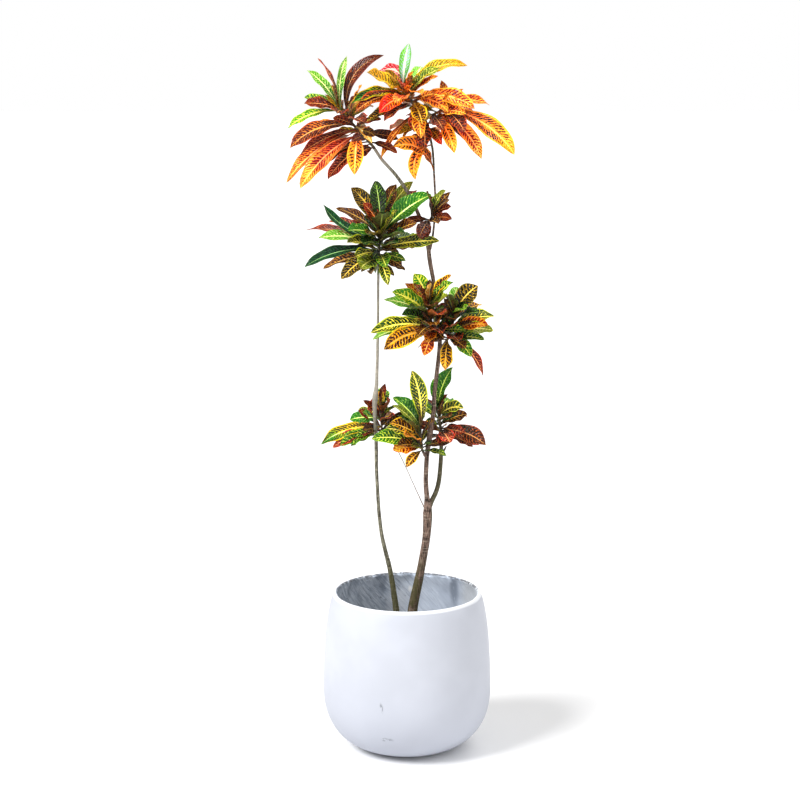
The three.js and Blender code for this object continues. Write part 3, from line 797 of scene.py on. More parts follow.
@dataclass(frozen=True)
class PlanterFinish:
    """The planter: matte white paint outside, bare brushed cement inside.

    The cuts of the lip, the foot, the smooth right of the cement and its far right are places in metres. The
    pale top of the lip is a painted highlight, the darker foot is painted shade, and the paler right of the
    cement is painted light.
    """

    name: str = "painted_cement"
    clouds: Pattern = Pattern(5.0, 3.0, 0.55)
    specks: Pattern = Pattern(240.0, 2.0, 0.7)
    paint: tuple[str, str] = ("bec1ca", "c6c9d2")
    paint_cut: Range = (0.36, 0.68)
    pit: Coat = Coat("a0a4b0", (0.72, 0.80), 0.3)
    # Painted shade: the paint darkens towards the foot
    foot: Coat = Coat("adb1bd", (0.30, -0.03), 0.8)
    # Painted highlight: the top of the lip is paler
    lip: Coat = Coat("eef0f4", (0.396, 0.401))
    scuff: str = "585c64"
    scuffs: tuple[Scuff, ...] = (
        Scuff((-65.0, -206.0, 161.0), (7.0, 30.0, 22.0), 0.7, (1.0, 1.0, 0.12)),
        Scuff((-48.0, -178.0, 79.0), (24.0, 30.0, 10.0), 0.9, (0.7, 1.0, 1.4)),
    )
    wall_radius: float = 0.17
    stroke_lean: float = 0.8
    stroke_length: float = 0.14
    strokes: Pattern = Pattern(150.0, 5.0, 0.72)
    scratches: Pattern = Pattern(60.0, 2.0, 0.5)
    patches: Pattern = Pattern(11.0, 3.0, 0.55, (1.0, 1.0, 0.4))
    cement: tuple[str, str] = ("a0acbc", "d4dde8")
    cement_cut: Range = (0.36, 0.64)
    pale: Coat = Coat("e2e7ed", (0.50, 0.66), 0.55)
    dark: Coat = Coat("6c7686", (0.44, 0.34), 0.6)
    scratched: Coat = Coat("6c7686", (0.03, 0.0), 0.7)
    # Partly smoother cement with fewer strokes, partly painted light: the right of the inside is paler
    calm_and_painted_light: Coat = Coat("cfdaeb", (-0.06, 0.06), 0.62)
    # Painted light: the far right of the inside is near white
    painted_light_far_right: Coat = Coat("f4f8fb", (0.13, 0.16), 0.6)
    drop: Coat = Coat("f2f4f6", (0.70, 0.75), 0.9)
    # A tall dark band down the right of the inner wall
    dark_band: Scuff = Scuff((122.0, 132.0, 362.0), (17.0, 44.0, 70.0), 0.7, cut=(0.1, 0.5))
    splashes: tuple[Scuff, ...] = (
        Scuff((9.0, 176.0, 357.0), (9.0, 30.0, 15.0), 1.0, cut=(0.3, 0.45)),
        Scuff((-37.0, 174.0, 326.0), (6.0, 30.0, 10.0), 1.0, cut=(0.2, 0.4)),
    )
    crumbs: Pattern = Pattern(110.0, 3.0, 0.6)
    crumbled: Coat = Coat("626368", (0.36, 0.50), 0.85)
    edge_band: Range = (0.3985, 0.4025)
    back_band: Range = (-0.02, 0.04)
    torn_edge: float = 0.9
    bare_cut: Range = (0.46, 0.54)
    rough: Range = (0.52, 0.34)
    gloss: float = 0.35
    speck_relief: float = 0.1
    cloud_relief: float = 0.5
    relief: float = 1.6
    relief_strength: float = 0.6

    def make(self) -> bpy.types.Material:
        """Makes the material.

        Returns:
            The material.
        """
        graph = Graph(self.name)
        patterns = (self.clouds, self.specks, self.patches)
        clouds, specks, patches = (pattern.draw(graph) for pattern in patterns)
        x, y, z = graph.split(graph.place())
        paint = graph.blend(graph.step(clouds, *self.paint_cut), *self.paint)
        paint = self.pit.lay(graph, paint, specks)
        # Painted shade: darker towards the foot
        paint = self.foot.lay(graph, paint, z)
        # Painted highlight: a paler top on the lip
        paint = self.lip.lay(graph, paint, z)
        for mark in self.scuffs:
            paint = graph.blend(mark.mask(graph), paint, self.scuff)

        # The brush strokes in the cement run round the wall and lean to the left as they rise
        round_wall = graph.times(graph.maths("ARCTAN2", x, y), self.wall_radius)
        slanted = graph.maths("MULTIPLY_ADD", z, self.stroke_lean, round_wall)
        leaning = graph.vector(slanted, graph.times(z, self.stroke_length), 0.0)
        strokes = self.strokes.draw(graph, leaning)
        ridges = graph.from_middle(self.scratches.draw(graph, leaning))
        cement = graph.blend(graph.step(strokes, *self.cement_cut), *self.cement)
        cement = self.pale.lay(graph, cement, patches)
        cement = self.dark.lay(graph, cement, patches)
        cement = self.scratched.lay(graph, cement, ridges)
        # The right half of the cement is smoother and paler: real smoothness, and painted light
        cement = self.calm_and_painted_light.lay(graph, cement, x)
        # Painted light: near white at the far right of the inside
        cement = self.painted_light_far_right.lay(graph, cement, x)
        cement = self.drop.lay(graph, cement, specks)
        # Darker in a tall band down the right of the inner wall
        cement = graph.blend(self.dark_band.mask(graph), cement, self.dark.colour)
        for splash in self.splashes:
            cement = graph.blend(splash.mask(graph), cement, self.drop.colour)
        back_edge = graph.times(graph.step(z, *self.edge_band), graph.step(y, *self.back_band))
        cement = self.crumbled.lay(graph, cement, self.crumbs.draw(graph), back_edge)

        torn = graph.plus(graph.attribute("inside"), graph.swing(specks, self.torn_edge))
        bare = graph.step(torn, *self.bare_cut)
        graph.shade("Base Color", graph.blend(bare, paint, cement))
        graph.roughen(bare, self.rough)
        graph.shade("Specular IOR Level", self.gloss)
        height = graph.plus(
            graph.times(bare, graph.plus(strokes, patches)),
            graph.times(specks, self.speck_relief),
            graph.times(clouds, self.cloud_relief),
        )
        graph.bump(height, self.relief, self.relief_strength)
        return graph.material


@dataclass(frozen=True)
class SoilFinish:
    """The potting mix: dark crumbs with paler fibres, and chips in their own colours."""

    name: str = "potting_mix"
    grain: Pattern = Pattern(160.0, 5.0, 0.7)
    patches: Pattern = Pattern(22.0, 3.0, 0.6)
    dark: str = "140d08"
    light: Coat = Coat("4a3524", (0.34, 0.68))
    damp: Coat = Coat("2c2018", (0.5, 0.7), 0.5)
    rough: Range = (0.82, 0.12)
    relief: float = 2.0
    relief_strength: float = 0.9

    def make(self) -> bpy.types.Material:
        """Makes the material.

        Returns:
            The material.
        """
        graph = Graph(self.name)
        grain, patches = self.grain.draw(graph), self.patches.draw(graph)
        colour = self.light.lay(graph, self.dark, grain)
        colour = self.damp.lay(graph, colour, patches)
        colour = graph.blend(graph.attribute("chip"), colour, graph.attribute("chip_color", "Color"))
        graph.shade("Base Color", colour)
        graph.roughen(patches, self.rough)
        graph.bump(grain, self.relief, self.relief_strength)
        return graph.material


@dataclass(frozen=True)
class FloorFinish:
    """The plain pale floor."""

    name: str = "studio_floor"
    clouds: Pattern = Pattern(0.6)
    tones: tuple[str, str] = ("f6f6f6", "fafafa")
    rough: float = 0.9

    def make(self) -> bpy.types.Material:
        """Makes the material.

        Returns:
            The material.
        """
        graph = Graph(self.name)
        graph.shade("Base Color", graph.blend(self.clouds.draw(graph), *self.tones))
        graph.shade("Roughness", self.rough)
        return graph.material


class Finish(Enum):
    """The finishes that the pieces share."""

    LEAF = LeafFinish()
    BARK = BarkFinish()
    SHOOT = ShootFinish()
    PLANTER = PlanterFinish()
    SOIL = SoilFinish()
    FLOOR = FloorFinish()


@dataclass
class Finishes:
    """Makes each finish once and hands it out."""

    made: dict[Finish, bpy.types.Material] = field(default_factory=dict)

    def get(self, finish: Finish) -> bpy.types.Material:
        """Gives the material of a finish.

        Args:
            finish: which one.

        Returns:
            The material, made on first use.
        """
        if finish not in self.made:
            self.made[finish] = finish.value.make()
        return self.made[finish]


# Routes and tubes


def bezier(knots: tuple[np.ndarray, ...] | np.ndarray, t: np.ndarray) -> np.ndarray:
    """Gives points of a cubic curve.

    Args:
        knots: the curve's four points.
        t: a column of places on it, from 0 to 1.

    Returns:
        One row for each place.
    """
    s = 1 - t
    weights = (s**3, 3 * s * s * t, 3 * s * t * t, t**3)
    return sum(weight * knot for weight, knot in zip(weights, knots))


def route_at(points: list[Station], places: np.ndarray) -> tuple[np.ndarray, np.ndarray, np.ndarray]:
    """Follows the smooth route through some points.

    Args:
        points: x, y, z and radius of each, in millimetres.
        places: where to look, from 0 at the first point to 1 at the last.

    Returns:
        The centres, the unit directions and the radii there, in millimetres.
    """
    spots = np.array(points, dtype=float)
    padded = np.vstack((2 * spots[0] - spots[1], spots, 2 * spots[-1] - spots[-2]))
    spans = len(points) - 1
    scaled = np.clip(places, 0.0, 1.0) * spans
    first = np.minimum(scaled.astype(int), spans - 1)
    t = (scaled - first)[:, None]
    before, start, end, after = (padded[first + k, :3] for k in range(4))
    leave, arrive = (end - before) / 2, (after - start) / 2
    square = -3 * start + 3 * end - 2 * leave - arrive
    cube = 2 * start - 2 * end + leave + arrive
    centre = start + t * (leave + t * (square + t * cube))
    along = leave + t * (2 * square + t * 3 * cube)
    along /= np.linalg.norm(along, axis=1)[:, None]
    radius = spots[first, 3] + (spots[first + 1, 3] - spots[first, 3]) * t[:, 0]
    return centre, along, radius


@dataclass
class Tube:
    """A grown stem along a route, with the ring scars that fallen leaves left."""

    route: list[Station]
    sides: int = 16
    ring_step: float = 3.5
    fewest_rings: int = 6
    level_digits: int = 5
    scar_gap: Range = (14.0, 30.0)
    scar_height: float = 0.07
    scar_sizes: Range = (0.5, 1.2)
    scar_width: float = 2.6
    scar_all_round: float = 0.65
    scar_free_end: float = 4.0
    wobble: float = 0.03
    wobble_waves: Range = (0.11, 0.037)

    def build(self, name: str, dice: random.Random) -> bpy.types.Object:
        """Models the stem.

        Args:
            name: the object's name.
            dice: where the scars' places come from.

        Returns:
            A closed mesh along the route.
        """
        spots = np.array(self.route)[:, :3]
        length = float(np.linalg.norm(np.diff(spots, axis=0), axis=1).sum())
        cuts = max(self.fewest_rings, round(length / self.ring_step))
        deselect()
        bpy.ops.mesh.primitive_cylinder_add(vertices=self.sides, radius=1.0, depth=1.0, location=(0, 0, 0.5))
        tube = bpy.context.object
        bpy.ops.object.transform_apply(location=True, rotation=True, scale=True)
        bpy.ops.object.mode_set(mode="EDIT")
        bpy.ops.mesh.select_mode(type="EDGE")
        bpy.ops.mesh.select_all(action="DESELECT")
        bpy.ops.object.mode_set(mode="OBJECT")
        places = corners(tube)
        for edge in tube.data.edges:
            low, high = edge.vertices
            edge.select = abs(places[low][2] - places[high][2]) > 0.5
        bpy.ops.object.mode_set(mode="EDIT")
        bpy.ops.mesh.subdivide(number_cuts=cuts)
        bpy.ops.object.mode_set(mode="OBJECT")
        tube.name = name
        self.bend(tube, length, dice)
        return tube

    def bend(self, tube: bpy.types.Object, length: float, dice: random.Random) -> None:
        """Lays the straight tube along its route and swells it at each scar.

        Args:
            tube: the tube, standing from 0 to 1.
            length: its real length in millimetres.
            dice: where the scars' places come from.
        """
        flat = corners(tube)
        place = np.clip(flat[:, 2], 0.0, 1.0)
        levels, index = np.unique(np.round(place, self.level_digits), return_inverse=True)
        centre, along, radius = route_at(self.route, levels)
        side = np.zeros_like(centre)
        last = SIDEWAYS
        for i, way in enumerate(along):
            last = last - way * (last @ way)
            last /= np.linalg.norm(last)
            side[i] = last
        across = np.cross(along, side)
        angle = np.arctan2(flat[:, 1], flat[:, 0])
        reach = np.hypot(flat[:, 0], flat[:, 1]) * radius[index]
        reach *= self.swelling(place * length, angle, length, dice)
        spot = centre[index] + side[index] * (reach * np.cos(angle))[:, None]
        spot += across[index] * (reach * np.sin(angle))[:, None]
        set_corners(tube, spot * MM)

    def swelling(
        self, distance: np.ndarray, angle: np.ndarray, length: float, dice: random.Random
    ) -> np.ndarray:
        """Finds how much thicker the stem is at each vertex.

        Args:
            distance: each vertex's distance along the stem.
            angle: each vertex's angle round it.
            length: the stem's length.
            dice: where the scars' places come from.

        Returns:
            A factor near one for each vertex.
        """
        quick, slow = self.wobble_waves
        factor = 1 + self.wobble * np.sin(distance * quick + angle) * np.sin(distance * slow)
        spot = dice.uniform(*self.scar_gap)
        while spot < length - self.scar_free_end:
            turn = dice.uniform(0, 2 * math.pi)
            ring = np.exp(-(((distance - spot) / self.scar_width) ** 2))
            fuller = self.scar_all_round + (1 - self.scar_all_round) * np.cos(angle - turn)
            factor += self.scar_height * dice.uniform(*self.scar_sizes) * ring * fuller
            spot += dice.uniform(*self.scar_gap)
        return factor


# Leaves


@dataclass(frozen=True)
class Leaf:
    """One leaf: its place along the shoot, its tip as an offset from the crown, its width and its look.

    face is how far the blade turns to the front in degrees, and arch its rise as a share of its length.
    """

    seat: float
    dx: float
    dy: float
    dz: float
    width: float
    look: Look
    face: float = 50.0
    arch: float = 0.1


@dataclass(frozen=True)
class Shoot:
    """A leafy shoot: its route past its start, the crown that its leaves' tips are measured from, its leaves.

    start is where it leaves another shoot, and is left out for the shoot that goes on from the cane.
    """

    route: list[Station]
    crown: Point
    leaves: list[Leaf]
    start: Station | None = None


@dataclass
class LeafMaker:
    """Models one flat leaf blank and bends copies of it into the leaves of a head."""

    stations: int = 18
    columns: int = 4
    petiole_width: float = 3.0
    petiole_thickness: float = 2.2
    blade_thickness: float = 0.8
    widest_power: float = 1.2
    fullness_near_root: float = 0.65
    fullness_near_tip: float = 0.95
    thinner_edge: float = 0.3
    tip_reach: float = 1e-4
    fold: float = 25.0
    folds: Range = (0.5, 1.3)
    crease: float = 0.45
    onset_share: float = 0.12
    ripple: float = 0.08
    waves: Range = (2.2, 3.6)
    side_phase: Range = (1.0, 3.0)
    curl: float = 20.0
    curl_centre: float = 0.4
    curl_length: float = 130.0
    arch_near_root: float = 0.3
    arch_near_tip: float = 0.72
    arch_gain: float = 1.25
    vein_gap: float = 8.5
    shades: Range = (0.86, 1.14)
    seed_spread: float = 1000.0
    blank: bpy.types.Object | None = None

    def make_blank(self) -> None:
        """Models the flat blank: a grid from 0 to 1 along X and -1 to 1 across, pointed and thickened."""
        deselect()
        bpy.ops.mesh.primitive_grid_add(x_subdivisions=self.stations, y_subdivisions=self.columns, size=2)
        blank = bpy.context.object
        blank.name = "leaf_blank"
        bpy.ops.object.mode_set(mode="EDIT")
        bpy.ops.mesh.select_all(action="SELECT")
        bpy.ops.transform.resize(value=(0.5, 1.0, 1.0))
        bpy.ops.transform.translate(value=(0.5, 0.0, 0.0))
        bpy.ops.mesh.select_all(action="DESELECT")
        bpy.ops.object.mode_set(mode="OBJECT")
        for vertex in blank.data.vertices:
            vertex.select = vertex.co.x > 1 - self.tip_reach
        bpy.ops.object.mode_set(mode="EDIT")
        bpy.ops.mesh.select_mode(type="VERT")
        bpy.ops.mesh.merge(type="CENTER")
        bpy.ops.object.mode_set(mode="OBJECT")
        shell = blank.modifiers.new("thickness", "SOLIDIFY")
        shell.thickness = 1.0
        shell.offset = 0.0
        bpy.ops.object.modifier_apply(modifier=shell.name)
        self.blank = blank

    def half_width(self, place: np.ndarray, width: float) -> np.ndarray:
        """Gives half the blade's width along the leaf.

        Args:
            place: from 0 at the root to 1 at the tip.
            width: the leaf's greatest width.

        Returns:
            The half widths, never less than the petiole's.
        """
        blade = ramp(place, PETIOLE_SHARE, 1.0)
        fullness = self.fullness_near_root + (self.fullness_near_tip - self.fullness_near_root) * blade
        swell = np.clip(np.sin(math.pi * blade**self.widest_power), 0, 1) ** fullness
        return np.maximum(self.petiole_width / 2 * (1 - place), width / 2 * swell)

    def bend(
        self, leaf: Leaf, root: np.ndarray, crown: Point, painted_sunlight: float, dice: random.Random
    ) -> bpy.types.Object:
        """Bends a copy of the blank into one leaf.

        Args:
            leaf: the leaf.
            root: where it leaves its shoot, in millimetres.
            crown: the point that its tip is measured from.
            painted_sunlight: the painted light or shade on the head's leaves, as a brightness near one.
            dice: where its waves come from.

        Returns:
            The leaf as a closed mesh, with its pattern stored on its vertices.
        """
        piece = own_copy(self.blank, "leaf")
        flat = corners(piece)
        place, share, layer = flat[:, 0], flat[:, 1], flat[:, 2]
        chord = np.array(crown) + (leaf.dx, leaf.dy, leaf.dz) - root
        length = float(np.linalg.norm(chord))
        lift = UP - chord * (chord[2] / length**2)
        lift /= np.linalg.norm(lift)
        rise = lift * length * leaf.arch * self.arch_gain
        leaving = root + chord * self.arch_near_root + rise
        arriving = root + chord * self.arch_near_tip + rise
        knots = (root, leaving, arriving, root + chord)
        first, second, third = (after - before for before, after in zip(knots, knots[1:]))
        t = place[:, None]
        s = 1 - t
        centre = bezier(knots, t)
        along = s * s * first + 2 * s * t * second + t * t * third
        along /= np.linalg.norm(along, axis=1)[:, None]
        level = np.cross(chord, lift)
        level /= np.linalg.norm(level)
        across = level - along * (along @ level)[:, None]
        across /= np.linalg.norm(across, axis=1)[:, None]
        upward = np.cross(across, along)
        turn = math.radians(leaf.face) * (-1 if level @ FRONT < 0 else 1)
        curl = math.radians(self.curl * min(1.0, length / self.curl_length))
        twist = turn + dice.uniform(-curl, curl) * (place - self.curl_centre)
        cos, sin = np.cos(twist)[:, None], np.sin(twist)[:, None]
        across, upward = across * cos - upward * sin, upward * cos + across * sin

        half = self.half_width(place, leaf.width)
        onset = ramp(place, PETIOLE_SHARE, PETIOLE_SHARE + self.onset_share)
        fold = math.radians(self.fold * dice.uniform(*self.folds))
        waves = dice.uniform(*self.waves)
        phase = dice.uniform(0, 2 * math.pi) + np.where(share > 0, dice.uniform(*self.side_phase), 0)
        ripple = self.ripple * leaf.width * onset * share**2 * np.sin(2 * math.pi * waves * place + phase)
        valley = (np.abs(share) - self.crease) * half * math.sin(fold) * onset
        thickness = self.blade_thickness + (self.petiole_thickness - self.blade_thickness) * (1 - onset)
        body = layer * thickness * (1 - self.thinner_edge * np.abs(share) * onset)
        spot = centre + across * (share * half * (1 - onset * (1 - math.cos(fold))))[:, None]
        spot += upward * (valley + ripple + body)[:, None]
        set_corners(piece, spot * MM)
        self.mark(piece, leaf, flat, length, painted_sunlight * dice.uniform(*self.shades))
        return piece

    def mark(
        self, piece: bpy.types.Object, leaf: Leaf, flat: np.ndarray, length: float, shade: float
    ) -> None:
        """Stores a leaf's pattern on its vertices.

        Args:
            piece: the leaf's mesh.
            leaf: the leaf.
            flat: its vertices as they are in the blank.
            length: its length in millimetres.
            shade: its brightness: its own random tone times its head's painted light or shade, and the
                painted shade of the heart for a young leaf.
        """
        look = leaf.look.value
        count = len(flat)
        colours = {name: getattr(look, name) for name in ("blade", "tip", "vein", "margin")}
        colours["vein_tip"] = look.vein_tip or look.vein
        for name, code in colours.items():
            set_attribute(piece, name, "FLOAT_COLOR", np.tile(linear(code), (count, 1)))
        veins = length * (1 - PETIOLE_SHARE) / self.vein_gap
        seed = math.modf(shade * self.seed_spread)[0]
        bands = (look.spread, look.midrib, look.edge)
        traits = (veins, seed, look.mottle)
        set_attribute(piece, "bands", "FLOAT_VECTOR", np.tile(bands, (count, 1)))
        set_attribute(piece, "traits", "FLOAT_VECTOR", np.tile(traits, (count, 1)))
        tone = np.tile((look.lines, 0.0, shade), (count, 1))
        tone[:, 1] = flat[:, 2] < 0
        set_attribute(piece, "tone", "FLOAT_VECTOR", tone)
        sheet = piece.data.uv_layers["UVMap"]
        index = np.empty(len(piece.data.loops), dtype=int)
        piece.data.loops.foreach_get("vertex_index", index)
        drawn = np.column_stack((flat[index, 0], (flat[index, 1] + 1) / 2))
        sheet.data.foreach_set("uv", drawn.astype(np.float32).ravel())


@dataclass
class LeafyHead:
    """A head of leaves on its shoots, in place of one solid.

    The young leaves fill its heart. Their length and lift go from a value at the foot to one at the tip.
    """

    node: str
    slot: str
    cane: list[Station]
    heart: tuple[Look, ...]
    shoots: list[Shoot]
    seat_gap: float = 0.3
    collar: float = 9.0
    taper: float = 0.3
    # Painted light or shade: the brightness of the whole head's leaves
    painted_sunlight: float = 1.0
    # Painted shade: how much darker the young leaves in the heart are
    painted_young_shade: float = 0.66
    young_gap: float = 7.0
    young_sizes: Range = (0.7, 1.12)
    young_turn: Range = (25.0, 75.0)
    young_reach: float = 90.0
    young_length: Range = (88.0, 58.0)
    young_slimness: float = 0.31
    young_lift: Range = (-10.0, 66.0)
    young_sway: float = 12.0
    young_arch: float = 0.08
    fewest_young: int = 4
    stem_sides: int = 10
    stem_ring_step: float = 3.0
    stem_scar_gap: Range = (5.0, 9.0)
    stem_scar_height: float = 0.12

    def shoot_route(self, shoot: Shoot) -> list[Station]:
        """Gives all the points of a shoot's route.

        Args:
            shoot: the shoot.

        Returns:
            The first shoot goes on from the end of its cane; a later one starts on the first.
        """
        if shoot.start:
            return [shoot.start, *shoot.route]
        end = np.array(self.cane[-1][:3])
        along = end - np.array(self.cane[-2][:3])
        along = along / np.linalg.norm(along)
        radius = self.cane[-1][3] - self.taper
        seated = [(*(end + along * gap), radius) for gap in (self.seat_gap, self.collar)]
        return [*seated, *shoot.route]

    def young_leaves(self, shoot: Shoot, route: list[Station], dice: random.Random) -> list[Leaf]:
        """Grows the small leaves that fill the heart of a shoot, in a spiral that stands up towards its tip.

        Args:
            shoot: the shoot.
            route: its whole route.
            dice: where their small differences come from.

        Returns:
            The small leaves.
        """
        spots = np.array(route)[:, :3]
        length = np.linalg.norm(np.diff(spots, axis=0), axis=1).sum()
        reach = min(self.young_reach, length - self.collar)
        count = max(self.fewest_young, round(reach / self.young_gap))
        seats = np.linspace(1 - reach / length, 1.0, count)
        roots, _, _ = route_at(route, seats)
        turn = dice.uniform(0, 2 * math.pi)
        grown = []
        for share, seat, root in zip(np.linspace(0, 1, count), seats, roots):
            turn += GOLDEN_ANGLE
            length, lift = (foot + (tip - foot) * share for foot, tip in (self.young_length, self.young_lift))
            lift = math.radians(lift + dice.uniform(-self.young_sway, self.young_sway))
            length *= dice.uniform(*self.young_sizes)
            width = length * self.young_slimness
            reach = length * math.cos(lift)
            tip = root + (reach * math.cos(turn), reach * math.sin(turn), length * math.sin(lift))
            away = tip - np.array(shoot.crown)
            look = dice.choice(self.heart)
            face = dice.uniform(*self.young_turn)
            grown.append(Leaf(seat, *away, width, look, face, self.young_arch))
        return grown

    def build(self, maker: LeafMaker, finishes: Finishes, dice: random.Random) -> bpy.types.Object:
        """Models the head.

        Args:
            maker: bends the leaves.
            finishes: gives the materials.
            dice: where the leaves' small differences come from.

        Returns:
            The leaves and shoots as one piece.
        """
        leaves = []
        stems = []
        for shoot in self.shoots:
            route = self.shoot_route(shoot)
            grown = shoot.leaves + self.young_leaves(shoot, route, dice)
            roots, _, _ = route_at(route, np.array([leaf.seat for leaf in grown]))
            for i, (leaf, root) in enumerate(zip(grown, roots)):
                # Painted light or shade: each head has its own brightness, and the young leaves in its heart
                # are painted darker, as in shade
                shade = self.painted_sunlight * (1.0 if i < len(shoot.leaves) else self.painted_young_shade)
                piece = maker.bend(leaf, root, shoot.crown, shade, dice)
                piece.data.materials.append(finishes.get(Finish.LEAF))
                leaves.append(piece)
            tube = Tube(
                route,
                self.stem_sides,
                self.stem_ring_step,
                scar_gap=self.stem_scar_gap,
                scar_height=self.stem_scar_height,
            )
            stem = tube.build("stem", dice)
            stem.data.materials.append(finishes.get(Finish.SHOOT))
            stems.append(stem)
        foliage = join(leaves + stems, self.node.replace("_head", "_foliage"))
        shade_smooth(foliage)
        finish_piece(foliage, self.node)
        return foliage


# Planter and soil


@dataclass
class Planter:
    """The round planter: a low belly, a rounded foot and lip, and a wall of even thickness."""

    height: float = 405.0
    base_radius: float = 70.0
    belly_radius: float = 214.0
    belly_height: float = 150.0
    rim_radius: float = 188.0
    wall: float = 10.0
    floor: float = 24.0
    base_rounding: float = 100.0
    belly_rounding: float = 80.0
    shoulder_pull: float = 90.0
    neck_pull: float = 40.0
    neck_lean: float = 18.0
    steps: int = 28
    lip_steps: int = 8
    turns: int = 200
    bare_front: float = 0.2
    bare_back: float = 0.9
    bare_from: float = 0.9
    bare_slack: float = 0.1
    cast_waves: float = 0.5
    cast_scale: float = 9.0
    cast_inward: float = 0.5
    trowel_marks: float = 1.6
    trowel_scale: float = 38.0
    lip_chips: float = 9.0
    lip_chip_scale: float = 75.0

    def wall_curve(self, inset: float, floor: float) -> list[tuple[float, float]]:
        """Gives the radius and height of the wall from the foot up.

        Args:
            inset: how far inside the outer face.
            floor: the height that the curve starts at.

        Returns:
            Points from the flat of the base to the rim.
        """
        belly = (self.belly_radius - inset, self.belly_height)
        rim = (self.rim_radius - inset, self.height - self.wall / 2)
        lower = (
            (self.base_radius, floor),
            (self.base_radius + self.base_rounding, floor),
            (belly[0], belly[1] - self.belly_rounding + floor / 2),
            belly,
        )
        upper = (
            belly,
            (belly[0], belly[1] + self.shoulder_pull),
            (rim[0] + self.neck_lean, self.height - self.neck_pull),
            rim,
        )
        shares = np.linspace(0, 1, self.steps + 1)[:, None]
        wall = np.vstack((bezier(np.array(lower), shares), bezier(np.array(upper), shares[1:])))
        return [(float(radius), float(height)) for radius, height in wall]

    def lip(self) -> list[tuple[float, float]]:
        """Gives the half circle over the rim.

        Returns:
            Points from the outside to the inside, without the two on the wall.
        """
        half = self.wall / 2
        turns = (math.pi * i / self.lip_steps for i in range(1, self.lip_steps))
        return [
            (self.rim_radius - half + half * math.cos(turn), self.height - half + half * math.sin(turn))
            for turn in turns
        ]

    def build(self, finishes: Finishes) -> bpy.types.Object:
        """Models the planter by spinning its profile.

        Args:
            finishes: gives the material.

        Returns:
            The planter.
        """
        outer = self.wall_curve(0.0, 0.0)
        lip = self.lip()
        inner = self.wall_curve(self.wall, self.floor)[::-1]
        pot = spun("planter", [(0.0, 0.0), *outer, *lip, *inner, (0.0, self.floor)], self.turns)
        self.age(pot)
        pot.data.materials.append(finishes.get(Finish.PLANTER))
        shade_smooth(pot)
        finish_piece(pot, "pot")
        return pot

    def age(self, pot: bpy.types.Object) -> None:
        """Roughens the cast wall and the lip's inner edge, and stores which faces are bare cement.

        Args:
            pot: the spun planter.
        """
        places = corners(pot)
        radius = np.hypot(places[:, 0], places[:, 1])
        middle = (self.rim_radius - self.wall / 2) * MM
        height = places[:, 2]
        wall = np.array(self.wall_curve(self.wall / 2, self.floor / 2)) * MM
        halfway = np.interp(height, wall[:, 1], wall[:, 0])
        within = (radius < halfway - self.bare_slack * MM) & (height > self.floor * MM * self.bare_from)
        back = np.clip(places[:, 1] / middle, 0, 1)
        over = (middle - radius) / (self.wall * MM / 2) + self.bare_front + self.bare_back * back
        lip = height > (self.height - self.wall) * MM
        inside = np.where(lip, np.clip(over, 0, 1), within.astype(float))
        shift = np.zeros(len(places))
        for i, spot in enumerate(places):
            waves = (noise.noise(Vector(spot) * self.cast_scale) - self.cast_inward) * self.cast_waves
            trowel = noise.noise(Vector(spot) * self.trowel_scale) * self.trowel_marks
            shift[i] = (inside[i] * trowel + (1 - inside[i]) * waves) * MM
            if lip[i]:
                chip = max(0.0, noise.noise(Vector(spot) * self.lip_chip_scale))
                chip *= inside[i] * back[i] * self.lip_chips * MM
                places[i][2] -= chip
                shift[i] += chip
        shift = np.where(radius > self.base_radius * MM, shift, 0)
        outward = places[:, :2] / np.maximum(radius, TINY)[:, None]
        places[:, :2] += outward * shift[:, None]
        set_corners(pot, places)
        set_attribute(pot, "inside", "FLOAT", inside)


def spun(name: str, profile: list[tuple[float, float]], turns: int) -> bpy.types.Object:
    """Draws a profile by extruding from point to point and spins it round Z into a closed shell.

    Args:
        name: the object's name.
        profile: radius and height of each point in millimetres, from the axis to the axis.
        turns: how many faces there are round it.

    Returns:
        The shell.
    """
    deselect()
    bpy.ops.mesh.primitive_plane_add(size=MM, location=(0, 0, 0))
    shell = bpy.context.object
    shell.name = name
    bpy.ops.object.mode_set(mode="EDIT")
    bpy.ops.mesh.select_mode(type="VERT")
    bpy.ops.mesh.merge(type="CENTER")
    start = (profile[0][0] * MM, 0.0, profile[0][1] * MM)
    bpy.ops.transform.translate(value=start)
    for (r0, z0), (r1, z1) in zip(profile, profile[1:]):
        step = ((r1 - r0) * MM, 0.0, (z1 - z0) * MM)
        bpy.ops.mesh.extrude_region_move(TRANSFORM_OT_translate={"value": step})
    bpy.ops.mesh.select_all(action="SELECT")
    bpy.ops.mesh.spin(steps=turns, angle=2 * math.pi, center=(0, 0, 0), axis=(0, 0, 1))
    bpy.ops.mesh.select_all(action="SELECT")
    bpy.ops.mesh.remove_doubles(threshold=WELD_REACH * MM)
    bpy.ops.mesh.normals_make_consistent(inside=False)
    bpy.ops.object.mode_set(mode="OBJECT")
    return shell


